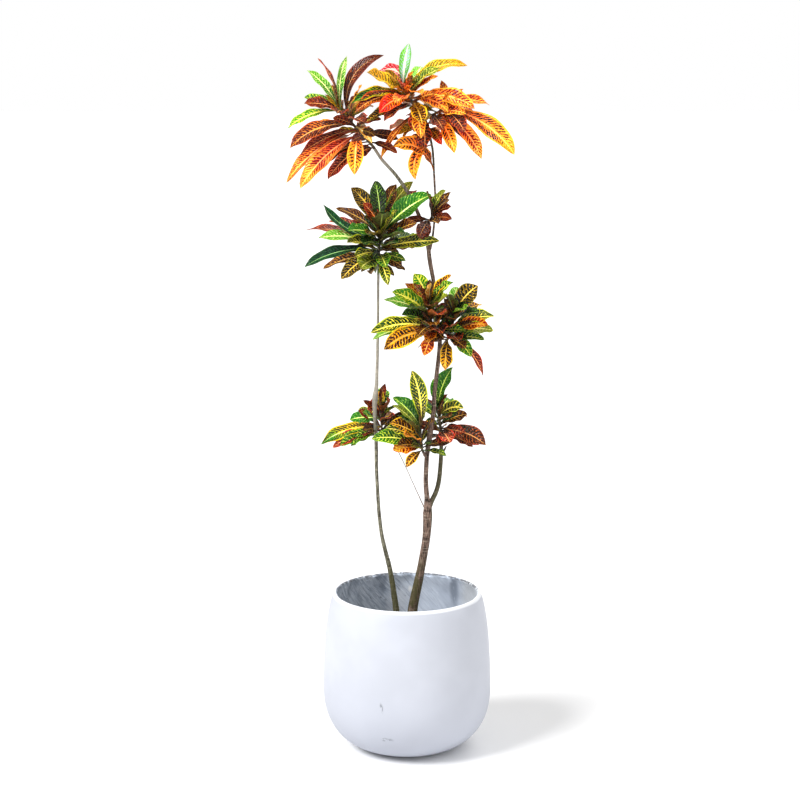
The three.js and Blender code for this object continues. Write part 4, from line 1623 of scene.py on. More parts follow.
@dataclass
class Soil:
    """The potting mix: an uneven bed up to the planter's wall, with crumbs and bark chips on it."""

    planter: Planter
    top: float = 280.0
    crown: float = 6.0
    gap: float = 0.6
    rings: int = 70
    turns: int = 160
    wall_stride: int = 4
    edge_margin: float = 1.0
    lumps: Range = (45.0, 3.2)
    crumbs: Range = (190.0, 1.8)
    sink: float = 2.4
    smooth_angle: float = 40.0
    chips: int = 320
    chip_size: Range = (2.5, 8.0)
    chip_lumps: Range = (0.7, 1.3)
    chip_breadth: Range = (0.4, 1.0)
    chip_depth: Range = (0.25, 0.6)
    chip_wall_gap: float = 10.0
    chip_colours: tuple[str, ...] = ("3a2718", "52391f", "2a1c12", "6b4d2e")
    chip_share: float = 0.7
    chip_cover: float = 0.85
    pale_every: int = 9
    pale_colour: str = "c9c6bd"
    pale_share: float = 0.35

    def build(self, finishes: Finishes, dice: random.Random) -> bpy.types.Object:
        """Models the bed and what lies on it.

        Args:
            finishes: gives the material.
            dice: where the chips' places come from.

        Returns:
            The soil.
        """
        foot = self.planter.floor + self.gap
        wall = self.planter.wall_curve(self.planter.wall + self.gap, foot)
        below = [point for point in wall if point[1] < self.top][:: self.wall_stride]
        edge = float(np.interp(self.top, [height for _, height in wall], [radius for radius, _ in wall]))
        surface = [
            (edge * (1 - i / self.rings), self.top + self.crown * (1 - (1 - i / self.rings) ** 2))
            for i in range(self.rings + 1)
        ]
        bed = spun("soil_bed", [(0.0, foot), *below, *surface], self.turns)
        places = corners(bed)
        for i, spot in enumerate(places):
            radius = math.hypot(spot[0], spot[1]) / MM
            if spot[2] > (self.top - self.edge_margin) * MM and radius < edge - self.edge_margin:
                places[i][2] += self.unevenness(spot)
        set_corners(bed, places)
        set_attribute(bed, "chip", "FLOAT", np.zeros(len(places)))
        bed.data.materials.append(finishes.get(Finish.SOIL))
        soil = join([bed, *self.scatter(edge, finishes, dice)], "potting_mix_bed")
        shade_smooth(soil, self.smooth_angle)
        finish_piece(soil, "potting_soil")
        return soil

    def unevenness(self, spot: np.ndarray) -> float:
        """Gives the height of the lumps and crumbs at a place, in metres."""
        heights = (noise.noise(Vector(spot) * scale) * height for scale, height in (self.lumps, self.crumbs))
        return (sum(heights) - self.sink) * MM

    def scatter(self, edge: float, finishes: Finishes, dice: random.Random) -> list[bpy.types.Object]:
        """Lays bark chips and pale grains on the bed.

        Args:
            edge: the bed's radius.
            finishes: gives the material.
            dice: where their places and sizes come from.

        Returns:
            The chips.
        """
        deselect()
        bpy.ops.mesh.primitive_ico_sphere_add(subdivisions=1, radius=1.0)
        blank = bpy.context.object
        made = []
        for i in range(self.chips):
            piece = own_copy(blank, "chip")
            places = corners(piece)
            places *= np.array([dice.uniform(*self.chip_lumps) for _ in places])[:, None]
            pale = i % self.pale_every == 0
            size = dice.uniform(*self.chip_size) * (self.pale_share if pale else self.chip_share)
            breadth = size * dice.uniform(*self.chip_breadth)
            depth = size * dice.uniform(*self.chip_depth)
            places *= np.array((size, breadth, depth)) * MM
            turn = dice.uniform(0, 2 * math.pi)
            cos, sin = math.cos(turn), math.sin(turn)
            places = places @ np.array(((cos, sin, 0), (-sin, cos, 0), (0, 0, 1)))
            radius = (edge - self.chip_wall_gap) * math.sqrt(dice.random())
            angle = dice.uniform(0, 2 * math.pi)
            spot = np.array((radius * math.cos(angle), radius * math.sin(angle), self.top)) * MM
            spot[2] += self.crown * (1 - (radius / edge) ** 2) * MM + self.unevenness(spot)
            set_corners(piece, places + spot)
            colour = linear(self.pale_colour if pale else dice.choice(self.chip_colours))
            set_attribute(piece, "chip", "FLOAT", np.full(len(places), self.chip_cover))
            set_attribute(piece, "chip_color", "FLOAT_COLOR", np.tile(colour, (len(places), 1)))
            piece.data.materials.append(finishes.get(Finish.SOIL))
            made.append(piece)
        discard(blank)
        return made


# The canes' routes, as x, y, z and radius in millimetres

LEFT_CANE: list[Station] = [
    (-26, -8, 190.3, 8.6),
    (-26, -8, 285, 8.6),
    (-28, -8, 358, 8),
    (-43, -6, 461, 6),
    (-66, -2, 565, 4.6),
    (-76, 0, 695, 4.2),
    (-78, -4, 798, 4.5),
    (-81, -8, 875, 5.4),
    (-80, -9, 908, 7.4),
    (-76, -10, 951, 4.2),
    (-73, -12, 1077, 3.4),
    (-72, -16, 1177, 3.2),
    (-71, -20, 1242, 3.2),
]
RIGHT_CANE: list[Station] = [
    (10, 8, 190.3, 13.4),
    (10, 8, 285, 13.4),
    (15, 8, 358, 12.6),
    (35, 6, 461, 10.4),
    (48, 3, 539, 10),
    (52, 1, 608, 12),
    (50, 0, 650, 6.4),
    (47, 0, 695, 6),
    (50, 0, 759, 5.8),
    (57, 0, 811, 7.2),
    (65, 0, 862, 5.4),
    (69, 0, 925, 5.2),
    (81, 0, 1039, 5.4),
    (77, 0, 1085, 5),
    (74, 0, 1127, 4.8),
    (66, 0, 1192, 4.8),
    (56, 2, 1246, 5.4),
    (52, 4, 1280, 5.2),
    (44, 5, 1321, 4.8),
    (31, 5, 1355, 4.6),
    (9, 4, 1404, 4.4),
    (-25, 2, 1456, 4.2),
    (-60, 0, 1495, 4),
    (-80, -1, 1524, 3.8),
]
TOP_RIGHT_BRANCH: list[Station] = [
    (53, 3, 1268, 3.4),
    (60, 10, 1292, 2.8),
    (66, 20, 1335, 2.6),
    (70, 27, 1387, 2.5),
    (68, 31, 1424, 2.5),
    (66, 34, 1462, 2.8),
]
LOWER_RIGHT_BRANCH: list[Station] = [
    (50, 1, 606, 6.4),
    (61, 7, 636, 6.2),
    (76, 18, 669, 5.9),
    (83, 28, 708, 5.6),
    (86, 36, 757, 5.2),
    (86, 40, 796, 4.4),
]
LOWER_LEFT_TWIG: list[Station] = [
    (47, 0, 616, 3),
    (38, 4, 634, 2),
    (16, 11, 682, 1.5),
    (-8, 19, 734, 1.5),
    (-34, 25, 782, 1.8),
    (-60, 28, 802, 2.6),
]
SPUR_STUB: list[Station] = [
    (39, 5, 1336, 3.4),
    (46, -5, 1341, 3),
    (52, -13, 1347, 2.8),
]
MIDDLE_LEFT_STUB: list[Station] = [
    (80, 0, 1046, 3.8),
    (75, -10, 1057, 3.6),
    (71, -17, 1068, 3.4),
]
MIDDLE_RIGHT_STUB: list[Station] = [
    (81, 0, 1030, 3.8),
    (90, -5, 1040, 3.6),
    (97, -8, 1051, 3.4),
]
LOWER_CENTRE_STUB: list[Station] = [
    (50, 0, 752, 3.8),
    (44, -9, 761, 3.6),
    (40, -15, 771, 3.4),
]
BUD_STUB: list[Station] = [
    (86, 36, 756, 3),
    (93, 34, 764, 2.8),
    (99, 33, 775, 1.4),
]

# The route of the long shoot in the top right head

TOP_RIGHT_SHOOT: list[Station] = [
    (64, 35, 1500, 2.8),
    (60, 33, 1532, 2.8),
    (45, 25, 1590, 3.2),
    (10, 18, 1640, 3.2),
    (-12, 14, 1662, 2.6),
]

# The looks of the young leaves in the heart of each head

TOP_LEFT_HEART = (Look.MAROON, Look.BRONZE, Look.RUST, Look.GOLD_OLIVE)
TOP_RIGHT_HEART = (Look.EMBER, Look.GOLD_OLIVE, Look.ORANGE_SPOT, Look.SCARLET)
SPUR_HEART = (Look.MAROON, Look.CRIMSON, Look.RUST)
SECOND_HEART = (Look.DEEP, Look.BLACK_GOLD, Look.DEEP, Look.GREEN, Look.BRONZE)
MIDDLE_LEFT_HEART = (Look.GREEN, Look.RUST, Look.BRONZE, Look.GOLD_VEIN)
MIDDLE_RIGHT_HEART = (Look.BRONZE, Look.RUST, Look.DEEP, Look.GREEN)
LOWER_CENTRE_HEART = (Look.GREEN, Look.DEEP, Look.GOLD_VEIN, Look.BRONZE)
LOWER_RIGHT_HEART = (Look.GREEN, Look.BRONZE, Look.CRIMSON, Look.DEEP)
LOWER_LEFT_HEART = (Look.RUST, Look.BRONZE, Look.GREEN)

# The heads of leaves, from the top down

HEADS = [
    LeafyHead("top_left_head", "leaf_red_orange", RIGHT_CANE, TOP_LEFT_HEART, [
        Shoot([(-112, -4, 1562, 3.6), (-133, -5, 1584, 3.4), (-171, -8, 1623, 2.8)], (-140, -5, 1600), [
            Leaf(0.98, -103, -10, 113, 28, Look.LIME, 60),
            Leaf(0.95, -78, 22, 142, 16, Look.CRIMSON, 10),
            Leaf(0.94, -7, 20, 147, 22, Look.LIME, 50, 0.13),
            Leaf(0.97, -47, 35, 76, 26, Look.EMBER, 40),
            Leaf(0.82, 83, 28, 149, 34, Look.MAROON, 60, 0.26),
            Leaf(0.8, 30, -32, 80, 34, Look.EMBER, 40),
            Leaf(0.8, 34, -108, -6, 50, Look.PLUM, 10),
            Leaf(0.9, -28, -118, 14, 46, Look.PLUM, 10),
            Leaf(0.97, -110, -18, 34, 34, Look.RUST, 60),
            Leaf(0.99, -113, 40, 46, 28, Look.GREEN),
            Leaf(0.95, -152, 2, -27, 28, Look.LIME_MIDRIB, 50, 0.13),
            Leaf(0.72, -145, -22, -73, 42, Look.MAROON_GOLD, 60, 0.15),
            Leaf(0.7, 54, -35, -60, 22, Look.PEACH, 40),
            Leaf(0.6, 12, -62, -135, 46, Look.ORANGE_SPOT, 10),
            Leaf(0.5, -120, -48, -169, 48, Look.FIRE, 60),
            Leaf(0.6, -122, -8, -91, 32, Look.CRIMSON, 40),
            Leaf(0.62, -157, 12, -160, 36, Look.FIRE, 55),
            Leaf(0.4, -112, -14, -150, 30, Look.MAROON, 30),
            Leaf(0.34, -83, 24, -122, 40, Look.PLUM),
            Leaf(0.3, -54, -14, -150, 36, Look.CRIMSON, 55),
            Leaf(0.12, 14, -26, -92, 34, Look.PLUM, 45),
            Leaf(0.9, -60, 128, 40, 44, Look.BRONZE, 0),
            Leaf(0.75, -8, 138, 10, 46, Look.CRIMSON, 0),
            Leaf(0.7, -108, 88, -40, 44, Look.FIRE, 20),
            Leaf(0.5, -40, 118, -62, 42, Look.MAROON, 0),
            Leaf(0.45, 22, 96, -52, 40, Look.ORANGE_SPOT, 0),
            Leaf(0.85, 20, 96, 40, 40, Look.GOLD_OLIVE, 0),
            Leaf(0.85, 56, 104, 24, 38, Look.BRONZE, 20),
            Leaf(0.65, 40, 60, -30, 36, Look.EMBER, 20),
            Leaf(0.55, -60, 80, -100, 38, Look.CRIMSON, 10),
        ]),
    ], young_lift=(-26.0, 66.0), young_length=(96.0, 62.0), painted_sunlight=1.18, young_gap=5.5),
    LeafyHead("top_right_head", "leaf_orange_gold", TOP_RIGHT_BRANCH, TOP_RIGHT_HEART, [
        Shoot(TOP_RIGHT_SHOOT, (-6, 15, 1648), [
            Leaf(0.99, 10, 35, 130, 30, Look.CREAM, 10),
            Leaf(0.93, 152, 8, 76, 38, Look.GOLD_OLIVE, 50, 0.2),
            Leaf(0.9, 88, -18, 70, 36, Look.OLIVE, 40, 0.12),
            Leaf(0.86, 80, -34, 52, 22, Look.EMBER),
            Leaf(0.93, 16, -46, 30, 24, Look.ORANGE_SPOT, 20),
            Leaf(0.95, -92, -58, 62, 50, Look.GOLD_OLIVE, 50, 0.04),
            Leaf(0.965, -71, 34, 56, 32, Look.PINK, 50, 0.42),
            Leaf(0.965, -18, -30, 44, 26, Look.PINK, 30),
            Leaf(0.9, -128, -58, -13, 36, Look.YELLOW_GREEN, 50, 0.14),
            Leaf(0.86, -120, -70, -34, 42, Look.MAROON_GOLD, 45, 0.16),
            Leaf(0.88, -112, -10, -14, 34, Look.MAROON, 50, 0.12),
            Leaf(0.84, -62, -75, -35, 40, Look.SCARLET, 45, 0.15),
            Leaf(0.86, 105, -44, -34, 36, Look.GOLD_RED, 45, 0.15),
            Leaf(0.82, 42, -82, -62, 42, Look.BLOTCH, 20),
            Leaf(0.78, -92, -30, -56, 34, Look.BLACK_GOLD, 45),
            Leaf(0.8, 39, -62, -96, 36, Look.GOLD_RED, 30),
            Leaf(0.76, 22, -48, -82, 36, Look.CRIMSON, 20),
            Leaf(0.74, -59, -36, -150, 20, Look.EMBER, 30),
            Leaf(0.7, 48, -26, -122, 46, Look.PLUM, 40),
            Leaf(0.06, -30, -42, -118, 50, Look.ORANGE_SPOT, 60, 0.26),
            Leaf(0.5, 26, -14, -200, 34, Look.ORANGE_SPOT, 50, 0.3),
            Leaf(0.82, 169, -34, -27, 46, Look.GOLD_RED, 60, 0.17),
            Leaf(0.88, -40, 120, 50, 44, Look.GOLD_OLIVE, 0),
            Leaf(0.84, 42, 122, 72, 42, Look.LIME, 0),
            Leaf(0.9, -92, 92, -10, 44, Look.FIRE, 10),
            Leaf(0.84, 62, 118, -30, 44, Look.EMBER, 0),
            Leaf(0.78, 2, 134, -24, 44, Look.MAROON, 0),
            Leaf(0.66, -38, 98, -84, 40, Look.CRIMSON, 0),
            Leaf(0.6, 80, 96, -88, 40, Look.GOLD_RED, 0),
            Leaf(0.92, 40, -90, 10, 38, Look.EMBER, 0),
            Leaf(0.88, -20, -110, -10, 42, Look.FIRE, 0),
            Leaf(0.8, -50, -80, -55, 36, Look.PLUM, 10),
        ]),
        Shoot([(60, 16, 1605, 3), (78, 9, 1614, 2.8), (95, 5, 1622, 2.4)], (80, 8, 1618), [
            Leaf(0.6, 122, 26, 10, 32, Look.EMBER, 50, 0.18),
            Leaf(0.4, 61, -56, -7, 36, Look.GOLD_RED, 40),
            Leaf(0.45, 34, -48, -103, 36, Look.ORANGE_SPOT),
            Leaf(0.75, 100, -40, -118, 40, Look.FIRE, 60),
            Leaf(0.97, 181, -22, -108, 54, Look.ORANGE_SPOT, 70, 0.12),
            Leaf(0.3, 6, -66, -46, 34, Look.MAROON, 20),
            Leaf(0.85, 58, -66, -50, 40, Look.PLUM, 30),
            Leaf(0.7, 60, 112, 4, 44, Look.GOLD_RED, 0),
            Leaf(0.95, 104, 82, -56, 42, Look.ORANGE_SPOT, 10),
            Leaf(0.5, 34, 100, -66, 40, Look.CRIMSON, 0),
            Leaf(0.97, 90, 60, -10, 34, Look.EMBER, 30),
            Leaf(0.8, 120, 20, -50, 34, Look.EMBER),
            Leaf(0.6, 70, -20, -80, 34, Look.MAROON),
        ], start=(43, 24, 1593, 3)),
    ], young_lift=(-30.0, 60.0), young_length=(104.0, 64.0), painted_sunlight=1.28, young_gap=5.0),
    LeafyHead("spur_head", "leaf_bronze", SPUR_STUB, SPUR_HEART, [
        Shoot([(57, -20, 1355, 2.6), (62, -26, 1364, 2.2)], (41, -20, 1352), [
            Leaf(0.9, 52, -14, 74, 30, Look.OLIVE, 50, 0.12),
            Leaf(0.7, 66, 14, 66, 27, Look.BRONZE, 40),
            Leaf(0.8, 62, -30, 52, 26, Look.BRONZE, 40),
            Leaf(0.3, 66, -20, 34, 29, Look.CRIMSON, 50, 0.15),
            Leaf(0.1, 34, -60, -4, 34, Look.BRONZE, 20),
            Leaf(0.2, -6, -44, -44, 36, Look.MAROON, 30),
            Leaf(0.4, -12, -64, -38, 34, Look.MAROON, 20),
        ]),
    ], painted_sunlight=0.75, young_gap=14.0),
    LeafyHead("second_head", "leaf_dark_green", LEFT_CANE, SECOND_HEART, [
        Shoot([(-69, -20, 1282, 3.4), (-67, -20, 1308, 3.2), (-66, -20, 1332, 2.8)], (-67, -20, 1308), [
            Leaf(0.86, -72, 50, 119, 44, Look.BLACK_GOLD, 60),
            Leaf(0.99, -12, 45, 136, 46, Look.DEEP, 20),
            Leaf(0.92, -42, 18, 84, 32, Look.RUST),
            Leaf(0.95, 40, 62, 127, 36, Look.BRONZE, 40),
            Leaf(0.89, 82, 78, 132, 36, Look.OLIVE, 40),
            Leaf(0.82, 92, 92, 110, 32, Look.CRIMSON, 30),
            Leaf(0.76, 126, -18, 107, 58, Look.LEAF_GREEN, 60),
            Leaf(0.72, -138, -20, 84, 30, Look.TEAL, 50, -0.12),
            Leaf(0.79, -109, 28, 70, 32, Look.BRONZE, 40),
            Leaf(0.66, -128, 38, 38, 32, Look.CRIMSON, 40),
            Leaf(0.65, -183, 8, 19, 34, Look.CRIMSON, 30, 0.08),
            Leaf(0.55, -151, -26, 2, 34, Look.LIME, 45),
            Leaf(0.74, -76, -90, 26, 44, Look.LEAF_GREEN, 40),
            Leaf(0.45, -185, -24, -70, 36, Look.TEAL, 50, 0.12),
            Leaf(0.35, -141, 22, -79, 36, Look.BRONZE, 45),
            Leaf(0.3, -91, 30, -84, 38, Look.BRONZE, 45),
            Leaf(0.4, -94, -46, -97, 42, Look.BLACK_GOLD, 45),
            Leaf(0.3, -47, -62, -68, 52, Look.OLIVE, 30),
            Leaf(0.2, -22, 30, -94, 36, Look.BRONZE, 20),
            Leaf(0.4, 15, -72, -64, 42, Look.GREEN, 20),
            Leaf(0.35, 54, -16, -68, 36, Look.BRONZE, 40),
            Leaf(0.5, 146, -26, -5, 38, Look.GOLD_VEIN, 60, 0.05),
            Leaf(0.45, 86, 26, -26, 36, Look.BRONZE, 40),
            Leaf(0.5, -79, -78, -4, 44, Look.GOLD_VEIN, 30),
            Leaf(0.62, 44, -52, 74, 32, Look.GOLD_VEIN, 40),
            Leaf(0.85, 6, -74, 66, 46, Look.DEEP, 10),
            Leaf(0.75, -60, 128, 42, 48, Look.DEEP, 0),
            Leaf(0.7, 0, 140, 60, 48, Look.DEEP, 0),
            Leaf(0.65, 64, 112, 50, 46, Look.BLACK_GOLD, 0),
            Leaf(0.5, -112, 92, 0, 46, Look.BRONZE, 10),
            Leaf(0.45, 92, 98, -4, 44, Look.GREEN, 0),
            Leaf(0.3, -42, 120, -52, 44, Look.OLIVE, 0),
            Leaf(0.7, -30, -95, 20, 42, Look.BLACK_GOLD, 0),
            Leaf(0.6, 60, -80, 20, 42, Look.DEEP, 20),
            Leaf(0.4, -60, -60, -40, 38, Look.GOLD_VEIN, 20),
            Leaf(0.6, 90, -40, 40, 40, Look.BRONZE),
            Leaf(0.6, -40, -84, -6, 44, Look.DEEP, 20),
            Leaf(0.45, 44, -76, -4, 42, Look.DEEP, 20),
            Leaf(0.3, 20, -60, -110, 28, Look.GOLD_VEIN, 30),
        ]),
    ], young_lift=(-35.0, 66.0), young_length=(66.0, 58.0), painted_sunlight=0.97, young_gap=2.2),
    LeafyHead("middle_left_head", "leaf_green_gold", MIDDLE_LEFT_STUB, MIDDLE_LEFT_HEART, [
        Shoot([(65, -24, 1084, 3.4), (57, -29, 1112, 3.2), (52, -31, 1146, 2.6)], (56, -28, 1120), [
            Leaf(0.97, -40, 26, 98, 40, Look.LIME_MIDRIB),
            Leaf(0.99, 2, -16, 80, 24, Look.PEACH, 30),
            Leaf(0.86, -62, 32, 73, 30, Look.EMBER, 40),
            Leaf(0.91, -42, -34, 78, 40, Look.RED_MIDRIB, 45),
            Leaf(0.78, -94, -20, 58, 46, Look.LIME_MIDRIB, 55),
            Leaf(0.75, -114, 16, 34, 32, Look.LIME, 45),
            Leaf(0.94, 57, -36, 84, 36, Look.GREEN),
            Leaf(0.89, 52, -14, 100, 32, Look.BLOTCH, 60),
            Leaf(0.8, 42, -62, 55, 36, Look.OLIVE, 35),
            Leaf(0.5, -146, -32, -42, 46, Look.GOLD_VEIN, 60, 0.12),
            Leaf(0.45, -142, -8, -62, 36, Look.LIME, 50, 0.12),
            Leaf(0.4, -114, -58, -79, 58, Look.BLOTCH, 70),
            Leaf(0.6, -70, -72, 8, 42, Look.DEEP, 40),
            Leaf(0.35, -8, -62, -60, 36, Look.ORANGE_SPOT, 20),
            Leaf(0.15, -14, -24, -100, 36, Look.EMBER, 45),
            Leaf(0.7, 26, -106, 14, 50, Look.RUST, 0),
            Leaf(0.45, 30, -86, -34, 48, Look.PLUM, 10),
            Leaf(0.8, -70, 92, 34, 44, Look.DEEP, 0),
            Leaf(0.83, -24, 112, 56, 44, Look.GREEN, 0),
            Leaf(0.5, -94, 66, -38, 44, Look.BLOTCH, 20),
            Leaf(0.75, -50, -95, 30, 42, Look.DEEP, 10),
            Leaf(0.55, -30, -90, -40, 40, Look.BRONZE, 10),
            Leaf(0.62, 14, -92, -14, 40, Look.BRONZE, 20),
            Leaf(0.86, 6, -70, 34, 38, Look.BRONZE, 10),
        ]),
    ], painted_sunlight=1.08, young_gap=3.0),
    LeafyHead("middle_right_head", "leaf_green_gold", MIDDLE_RIGHT_STUB, MIDDLE_RIGHT_HEART, [
        Shoot([(105, -11, 1070, 3.2), (112, -12, 1092, 3), (117, -12, 1122, 2.6)], (113, -12, 1100), [
            Leaf(0.97, 10, 36, 82, 38, Look.LIME, 30),
            Leaf(0.95, 62, 6, 88, 54, Look.BLACK_GOLD, 65),
            Leaf(0.7, 102, -12, 14, 42, Look.GOLD_VEIN),
            Leaf(0.6, 86, -34, -4, 42, Look.EMBER, 55),
            Leaf(0.9, 30, -76, 42, 40, Look.GREEN, 20),
            Leaf(0.4, 44, -42, -82, 36, Look.GREEN, 40),
            Leaf(0.3, 74, -16, -134, 26, Look.CRIMSON, 40, 0.15),
            Leaf(0.2, -20, -52, -114, 38, Look.BLOTCH, 30),
            Leaf(0.4, 12, -72, -38, 44, Look.PLUM, 10),
            Leaf(0.9, 22, 108, 42, 44, Look.GREEN, 0),
            Leaf(0.8, 74, 82, 32, 44, Look.BLOTCH, 10),
            Leaf(0.7, -26, 100, 24, 42, Look.BRONZE, 0),
            Leaf(0.5, 62, 88, -40, 42, Look.EMBER, 0),
            Leaf(0.35, 4, 98, -52, 42, Look.DEEP, 0),
            Leaf(0.5, 102, 42, -30, 42, Look.OLIVE, 40),
            Leaf(0.95, -14, -50, 74, 36, Look.DEEP, 20),
            Leaf(0.85, 60, -60, 30, 40, Look.DEEP, 30),
            Leaf(0.6, -10, -100, 0, 42, Look.RUST, 0),
            Leaf(0.2, 30, -50, -60, 34, Look.BRONZE, 30),
            Leaf(0.74, -16, -76, 20, 36, Look.BRONZE, 20),
        ]),
    ], painted_sunlight=1.1, young_gap=3.0),
    LeafyHead("lower_centre_head", "leaf_dark_green", LOWER_CENTRE_STUB, LOWER_CENTRE_HEART, [
        Shoot([(37, -19, 786, 3.2), (34, -22, 806, 3), (33, -24, 838, 2.6)], (36, -22, 820), [
            Leaf(0.97, -25, 18, 156, 44, Look.GOLD_VEIN, 45),
            Leaf(0.95, -72, -8, 92, 44, Look.LEAF_GREEN, 60),
            Leaf(0.85, -74, -48, 80, 24, Look.OLIVE),
            Leaf(0.75, -78, -34, 32, 44, Look.BLOTCH),
            Leaf(0.5, -125, -34, -8, 44, Look.GREEN, 60),
            Leaf(0.45, -100, 0, 0, 40, Look.DEEP),
            Leaf(0.3, -72, -24, -38, 44, Look.EMBER),
            Leaf(0.55, -42, -76, 8, 42, Look.ORANGE_SPOT, 20),
            Leaf(0.15, -38, -34, -80, 28, Look.BLOTCH, 40),
            Leaf(0.8, -62, 78, 34, 44, Look.DEEP, 0),
            Leaf(0.95, -30, 88, 66, 42, Look.GREEN, 0),
            Leaf(0.5, -30, 80, -20, 42, Look.BRONZE, 10),
            Leaf(0.8, -50, -60, 50, 38, Look.DEEP, 20),
            Leaf(0.65, -90, -40, 20, 38, Look.GOLD_VEIN, 40),
            Leaf(0.35, -60, -60, -20, 36, Look.BRONZE, 30),
        ]),
    ], painted_sunlight=1.0, young_gap=5.0),
    LeafyHead("lower_right_head", "leaf_green_gold", LOWER_RIGHT_BRANCH, LOWER_RIGHT_HEART, [
        Shoot([(85, 42, 818, 3.8), (81, 44, 842, 3.2), (77, 46, 868, 2.8)], (80, 44, 830), [
            Leaf(0.97, -15, 14, 113, 40, Look.LEAF_GREEN, 30),
            Leaf(0.95, 35, -8, 147, 44, Look.LEAF_GREEN, 60),
            Leaf(0.8, 62, -32, 46, 38, Look.GOLD_VEIN, 55, 0.2),
            Leaf(0.6, 72, 12, 23, 38, Look.BRONZE),
            Leaf(0.4, 118, -30, -49, 52, Look.RED_MIDRIB, 65, 0.14),
            Leaf(0.35, 26, -86, -30, 44, Look.CRIMSON, 10),
            Leaf(0.3, 86, -6, -58, 36, Look.MAROON),
            Leaf(0.25, 104, 24, -60, 36, Look.CRIMSON),
            Leaf(0.8, 30, 108, 44, 44, Look.GREEN, 0),
            Leaf(0.85, -42, 88, 34, 42, Look.DEEP, 0),
            Leaf(0.6, 74, 82, 4, 44, Look.EMBER, 10),
            Leaf(0.4, 2, 100, -32, 42, Look.BRONZE, 0),
            Leaf(0.7, 56, 60, 20, 40, Look.GREEN, 30),
            Leaf(0.4, -60, 62, -16, 40, Look.BLOTCH, 20),
            Leaf(0.5, 60, -60, -20, 40, Look.RED_MIDRIB, 40),
            Leaf(0.7, 30, -50, 30, 36, Look.BRONZE, 20),
        ]),
    ], painted_sunlight=1.04, young_gap=5.0),
    LeafyHead("lower_left_head", "leaf_green_gold", LOWER_LEFT_TWIG, LOWER_LEFT_HEART, [
        Shoot([(-64, 29, 824, 2.6), (-66, 30, 848, 2.6), (-67, 31, 872, 2.4)], (-63, 28, 830), [
            Leaf(0.5, -155, 6, -51, 40, Look.YELLOW_GREEN, 50, 0.12),
            Leaf(0.4, -125, -10, -56, 38, Look.CRIMSON),
            Leaf(0.3, -105, -20, -49, 42, Look.GREEN),
            Leaf(0.25, -80, 24, -60, 36, Look.GREEN, 40),
            Leaf(0.7, -82, 28, 8, 40, Look.LEAF_GREEN),
            Leaf(0.9, -34, 22, 56, 44, Look.RUST),
            Leaf(0.85, 20, -26, 66, 44, Look.RUST, 30),
            Leaf(0.97, -4, 18, 88, 30, Look.GOLD_OLIVE, 30),
            Leaf(0.95, 6, 46, 88, 36, Look.GREEN, 10),
            Leaf(0.6, 22, -52, 30, 44, Look.PLUM, 20),
            Leaf(0.55, 42, 32, 6, 40, Look.BLOTCH, 30),
            Leaf(0.7, -42, 92, 20, 42, Look.DEEP, 0),
            Leaf(0.6, 32, 88, 12, 42, Look.BRONZE, 0),
            Leaf(0.4, -88, 68, -22, 42, Look.EMBER, 20),
            Leaf(0.3, 34, 62, -30, 40, Look.GREEN, 0),
            Leaf(0.45, 30, -20, -30, 36, Look.DEEP, 40),
            Leaf(0.65, -60, 60, 30, 38, Look.GOLD_VEIN, 10),
        ]),
    ], painted_sunlight=1.04, young_gap=5.0),
]


@dataclass(frozen=True)
class Canes:
    """The bare grown stems that stand in for one solid."""

    node: str
    name: str
    trunks: list[list[Station]]
    twigs: list[list[Station]]
    twig_sides: int = 12
    twig_scar_gap: Range = (8.0, 18.0)
    twig_scar_height: float = 0.1

    def build(self, finishes: Finishes, dice: random.Random) -> bpy.types.Object:
        """Models the canes.

        Args:
            finishes: gives the bark.
            dice: where the leaf scars' places come from.

        Returns:
            The canes as one piece.
        """
        stems = [Tube(route).build("cane", dice) for route in self.trunks]
        for route in self.twigs:
            twig = Tube(
                route,
                self.twig_sides,
                scar_gap=self.twig_scar_gap,
                scar_height=self.twig_scar_height,
            )
            stems.append(twig.build("twig", dice))
        for stem in stems:
            stem.data.materials.append(finishes.get(Finish.BARK))
        whole = join(stems, self.name)
        shade_smooth(whole)
        finish_piece(whole, self.node)
        return whole


@dataclass(frozen=True)
class Sun:
    """A soft light that falls evenly on the plant and the floor."""

    name: str
    side: Point
    width: float
    power: float

    def hang(self) -> None:
        """Adds the light, on its side of the plant and with its width in degrees."""
        data = bpy.data.lights.new(self.name, "SUN")
        data.angle = math.radians(self.width)
        data.energy = self.power
        lamp = bpy.data.objects.new(self.name, data)
        lamp.rotation_euler = Vector(self.side).to_track_quat("Z", "Y").to_euler()
        bpy.context.scene.collection.objects.link(lamp)


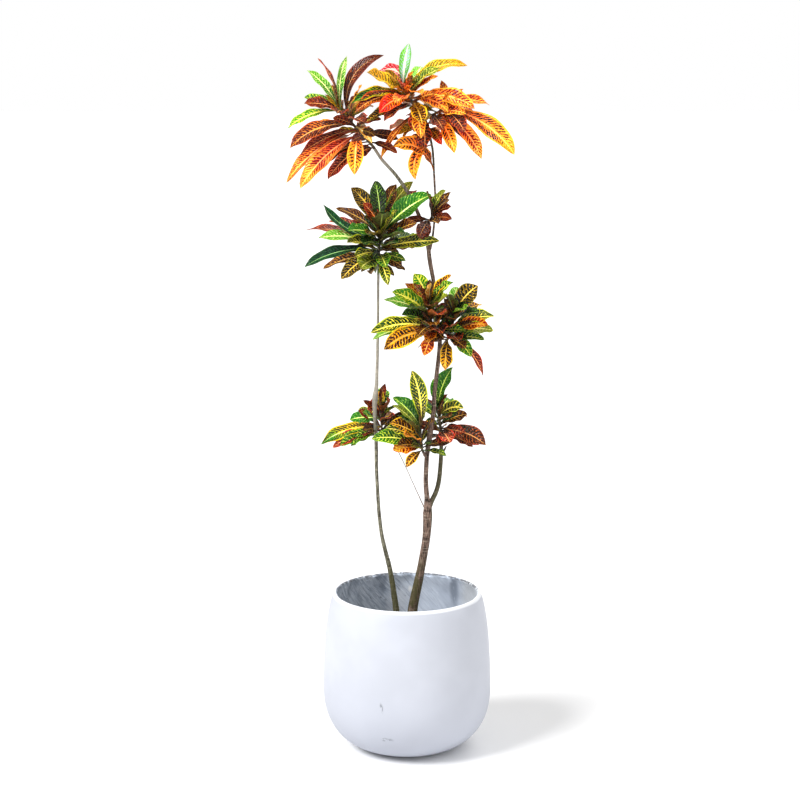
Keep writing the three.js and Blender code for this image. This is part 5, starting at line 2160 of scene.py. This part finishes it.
@dataclass
class Studio:
    """The plain pale floor, the soft light and the camera."""

    floor_size: float = 80.0
    floor_drop: float = 0.5
    lens: float = 90.0
    sensor: float = 36.0
    camera_place: Point = (-0.018, -4.916, 1.811)
    camera_drop: float = 10.5
    far: float = 200.0
    glow: float = 0.45
    backdrop: float = 1.0
    suns: tuple[Sun, ...] = (
        Sun("key", (-1.05, -0.72, 1.15), 24.0, 3.2),
        Sun("fill", (1.0, -0.9, 0.9), 60.0, 0.85),
        Sun("rear", (0.6, 1.0, 1.3), 40.0, 0.9),
    )

    def build(self, finishes: Finishes) -> None:
        """Sets up the floor, the light and the camera.

        Args:
            finishes: gives the floor's material.
        """
        self.lay_floor(finishes)
        self.light()
        self.aim()

    def lay_floor(self, finishes: Finishes) -> None:
        """Lays the floor just under the planter.

        Args:
            finishes: gives its material.
        """
        deselect()
        bpy.ops.mesh.primitive_plane_add(size=self.floor_size, location=(0, 0, -self.floor_drop * MM))
        floor = bpy.context.object
        floor.name = "studio_floor"
        floor.data.materials.append(finishes.get(Finish.FLOOR))

    def light(self) -> None:
        """Surrounds the plant with soft white light, and adds a key, a fill and a light from behind."""
        world = bpy.data.worlds.new("studio_world")
        bpy.context.scene.world = world
        world.use_nodes = True
        sky = world.node_tree.nodes["Background"]
        sky.inputs["Color"].default_value = WHITE
        sky.inputs["Strength"].default_value = self.glow
        self.show_white(world)
        for sun in self.suns:
            sun.hang()
        view = bpy.context.scene.view_settings
        view.view_transform = "Standard"
        view.look = "None"

    def show_white(self, world: bpy.types.World) -> None:
        """Shows the camera a plain white backdrop, brighter than the light that the backdrop gives.

        Args:
            world: the world, with its own background set.
        """
        tree = world.node_tree
        white = tree.nodes.new("ShaderNodeBackground")
        white.inputs["Color"].default_value = WHITE
        white.inputs["Strength"].default_value = self.backdrop
        seen = tree.nodes.new("ShaderNodeLightPath")
        mix = tree.nodes.new("ShaderNodeMixShader")
        tree.links.new(seen.outputs["Is Camera Ray"], mix.inputs[0])
        tree.links.new(tree.nodes["Background"].outputs[0], mix.inputs[1])
        tree.links.new(white.outputs[0], mix.inputs[2])
        tree.links.new(mix.outputs[0], tree.nodes["World Output"].inputs[0])

    def aim(self) -> None:
        """Sets the camera where the photograph was taken from."""
        data = bpy.data.cameras.new("camera")
        data.lens = self.lens
        data.sensor_width = self.sensor
        data.clip_end = self.far
        camera = bpy.data.objects.new("camera", data)
        camera.location = self.camera_place
        camera.rotation_euler = (math.radians(90 - self.camera_drop), 0.0, 0.0)
        bpy.context.scene.collection.objects.link(camera)
        bpy.context.scene.camera = camera


def main() -> None:
    """Builds every piece in order: planter, soil, canes, heads and studio."""
    logging.basicConfig(level=logging.INFO, format="%(name)s %(message)s")
    finishes = Finishes()
    dice = random.Random(SEED)
    planter = Planter()
    planter.build(finishes)
    Soil(planter).build(finishes, dice)
    Canes("left_cane", "left_bark_cane", [LEFT_CANE], []).build(finishes, dice)
    stubs = [SPUR_STUB, MIDDLE_LEFT_STUB, MIDDLE_RIGHT_STUB, LOWER_CENTRE_STUB, BUD_STUB]
    trunks = [RIGHT_CANE, TOP_RIGHT_BRANCH, LOWER_RIGHT_BRANCH]
    hair = [(x, y, z, radius * HAIR_SHARE) for x, y, z, radius in LOWER_LEFT_TWIG]
    Canes("right_cane", "right_bark_cane", trunks, [hair, *stubs]).build(finishes, dice)
    maker = LeafMaker()
    maker.make_blank()
    for head in HEADS:
        head.build(maker, finishes, dice)
    discard(maker.blank)
    Studio().build(finishes)


if __name__ == "__main__":
    main()
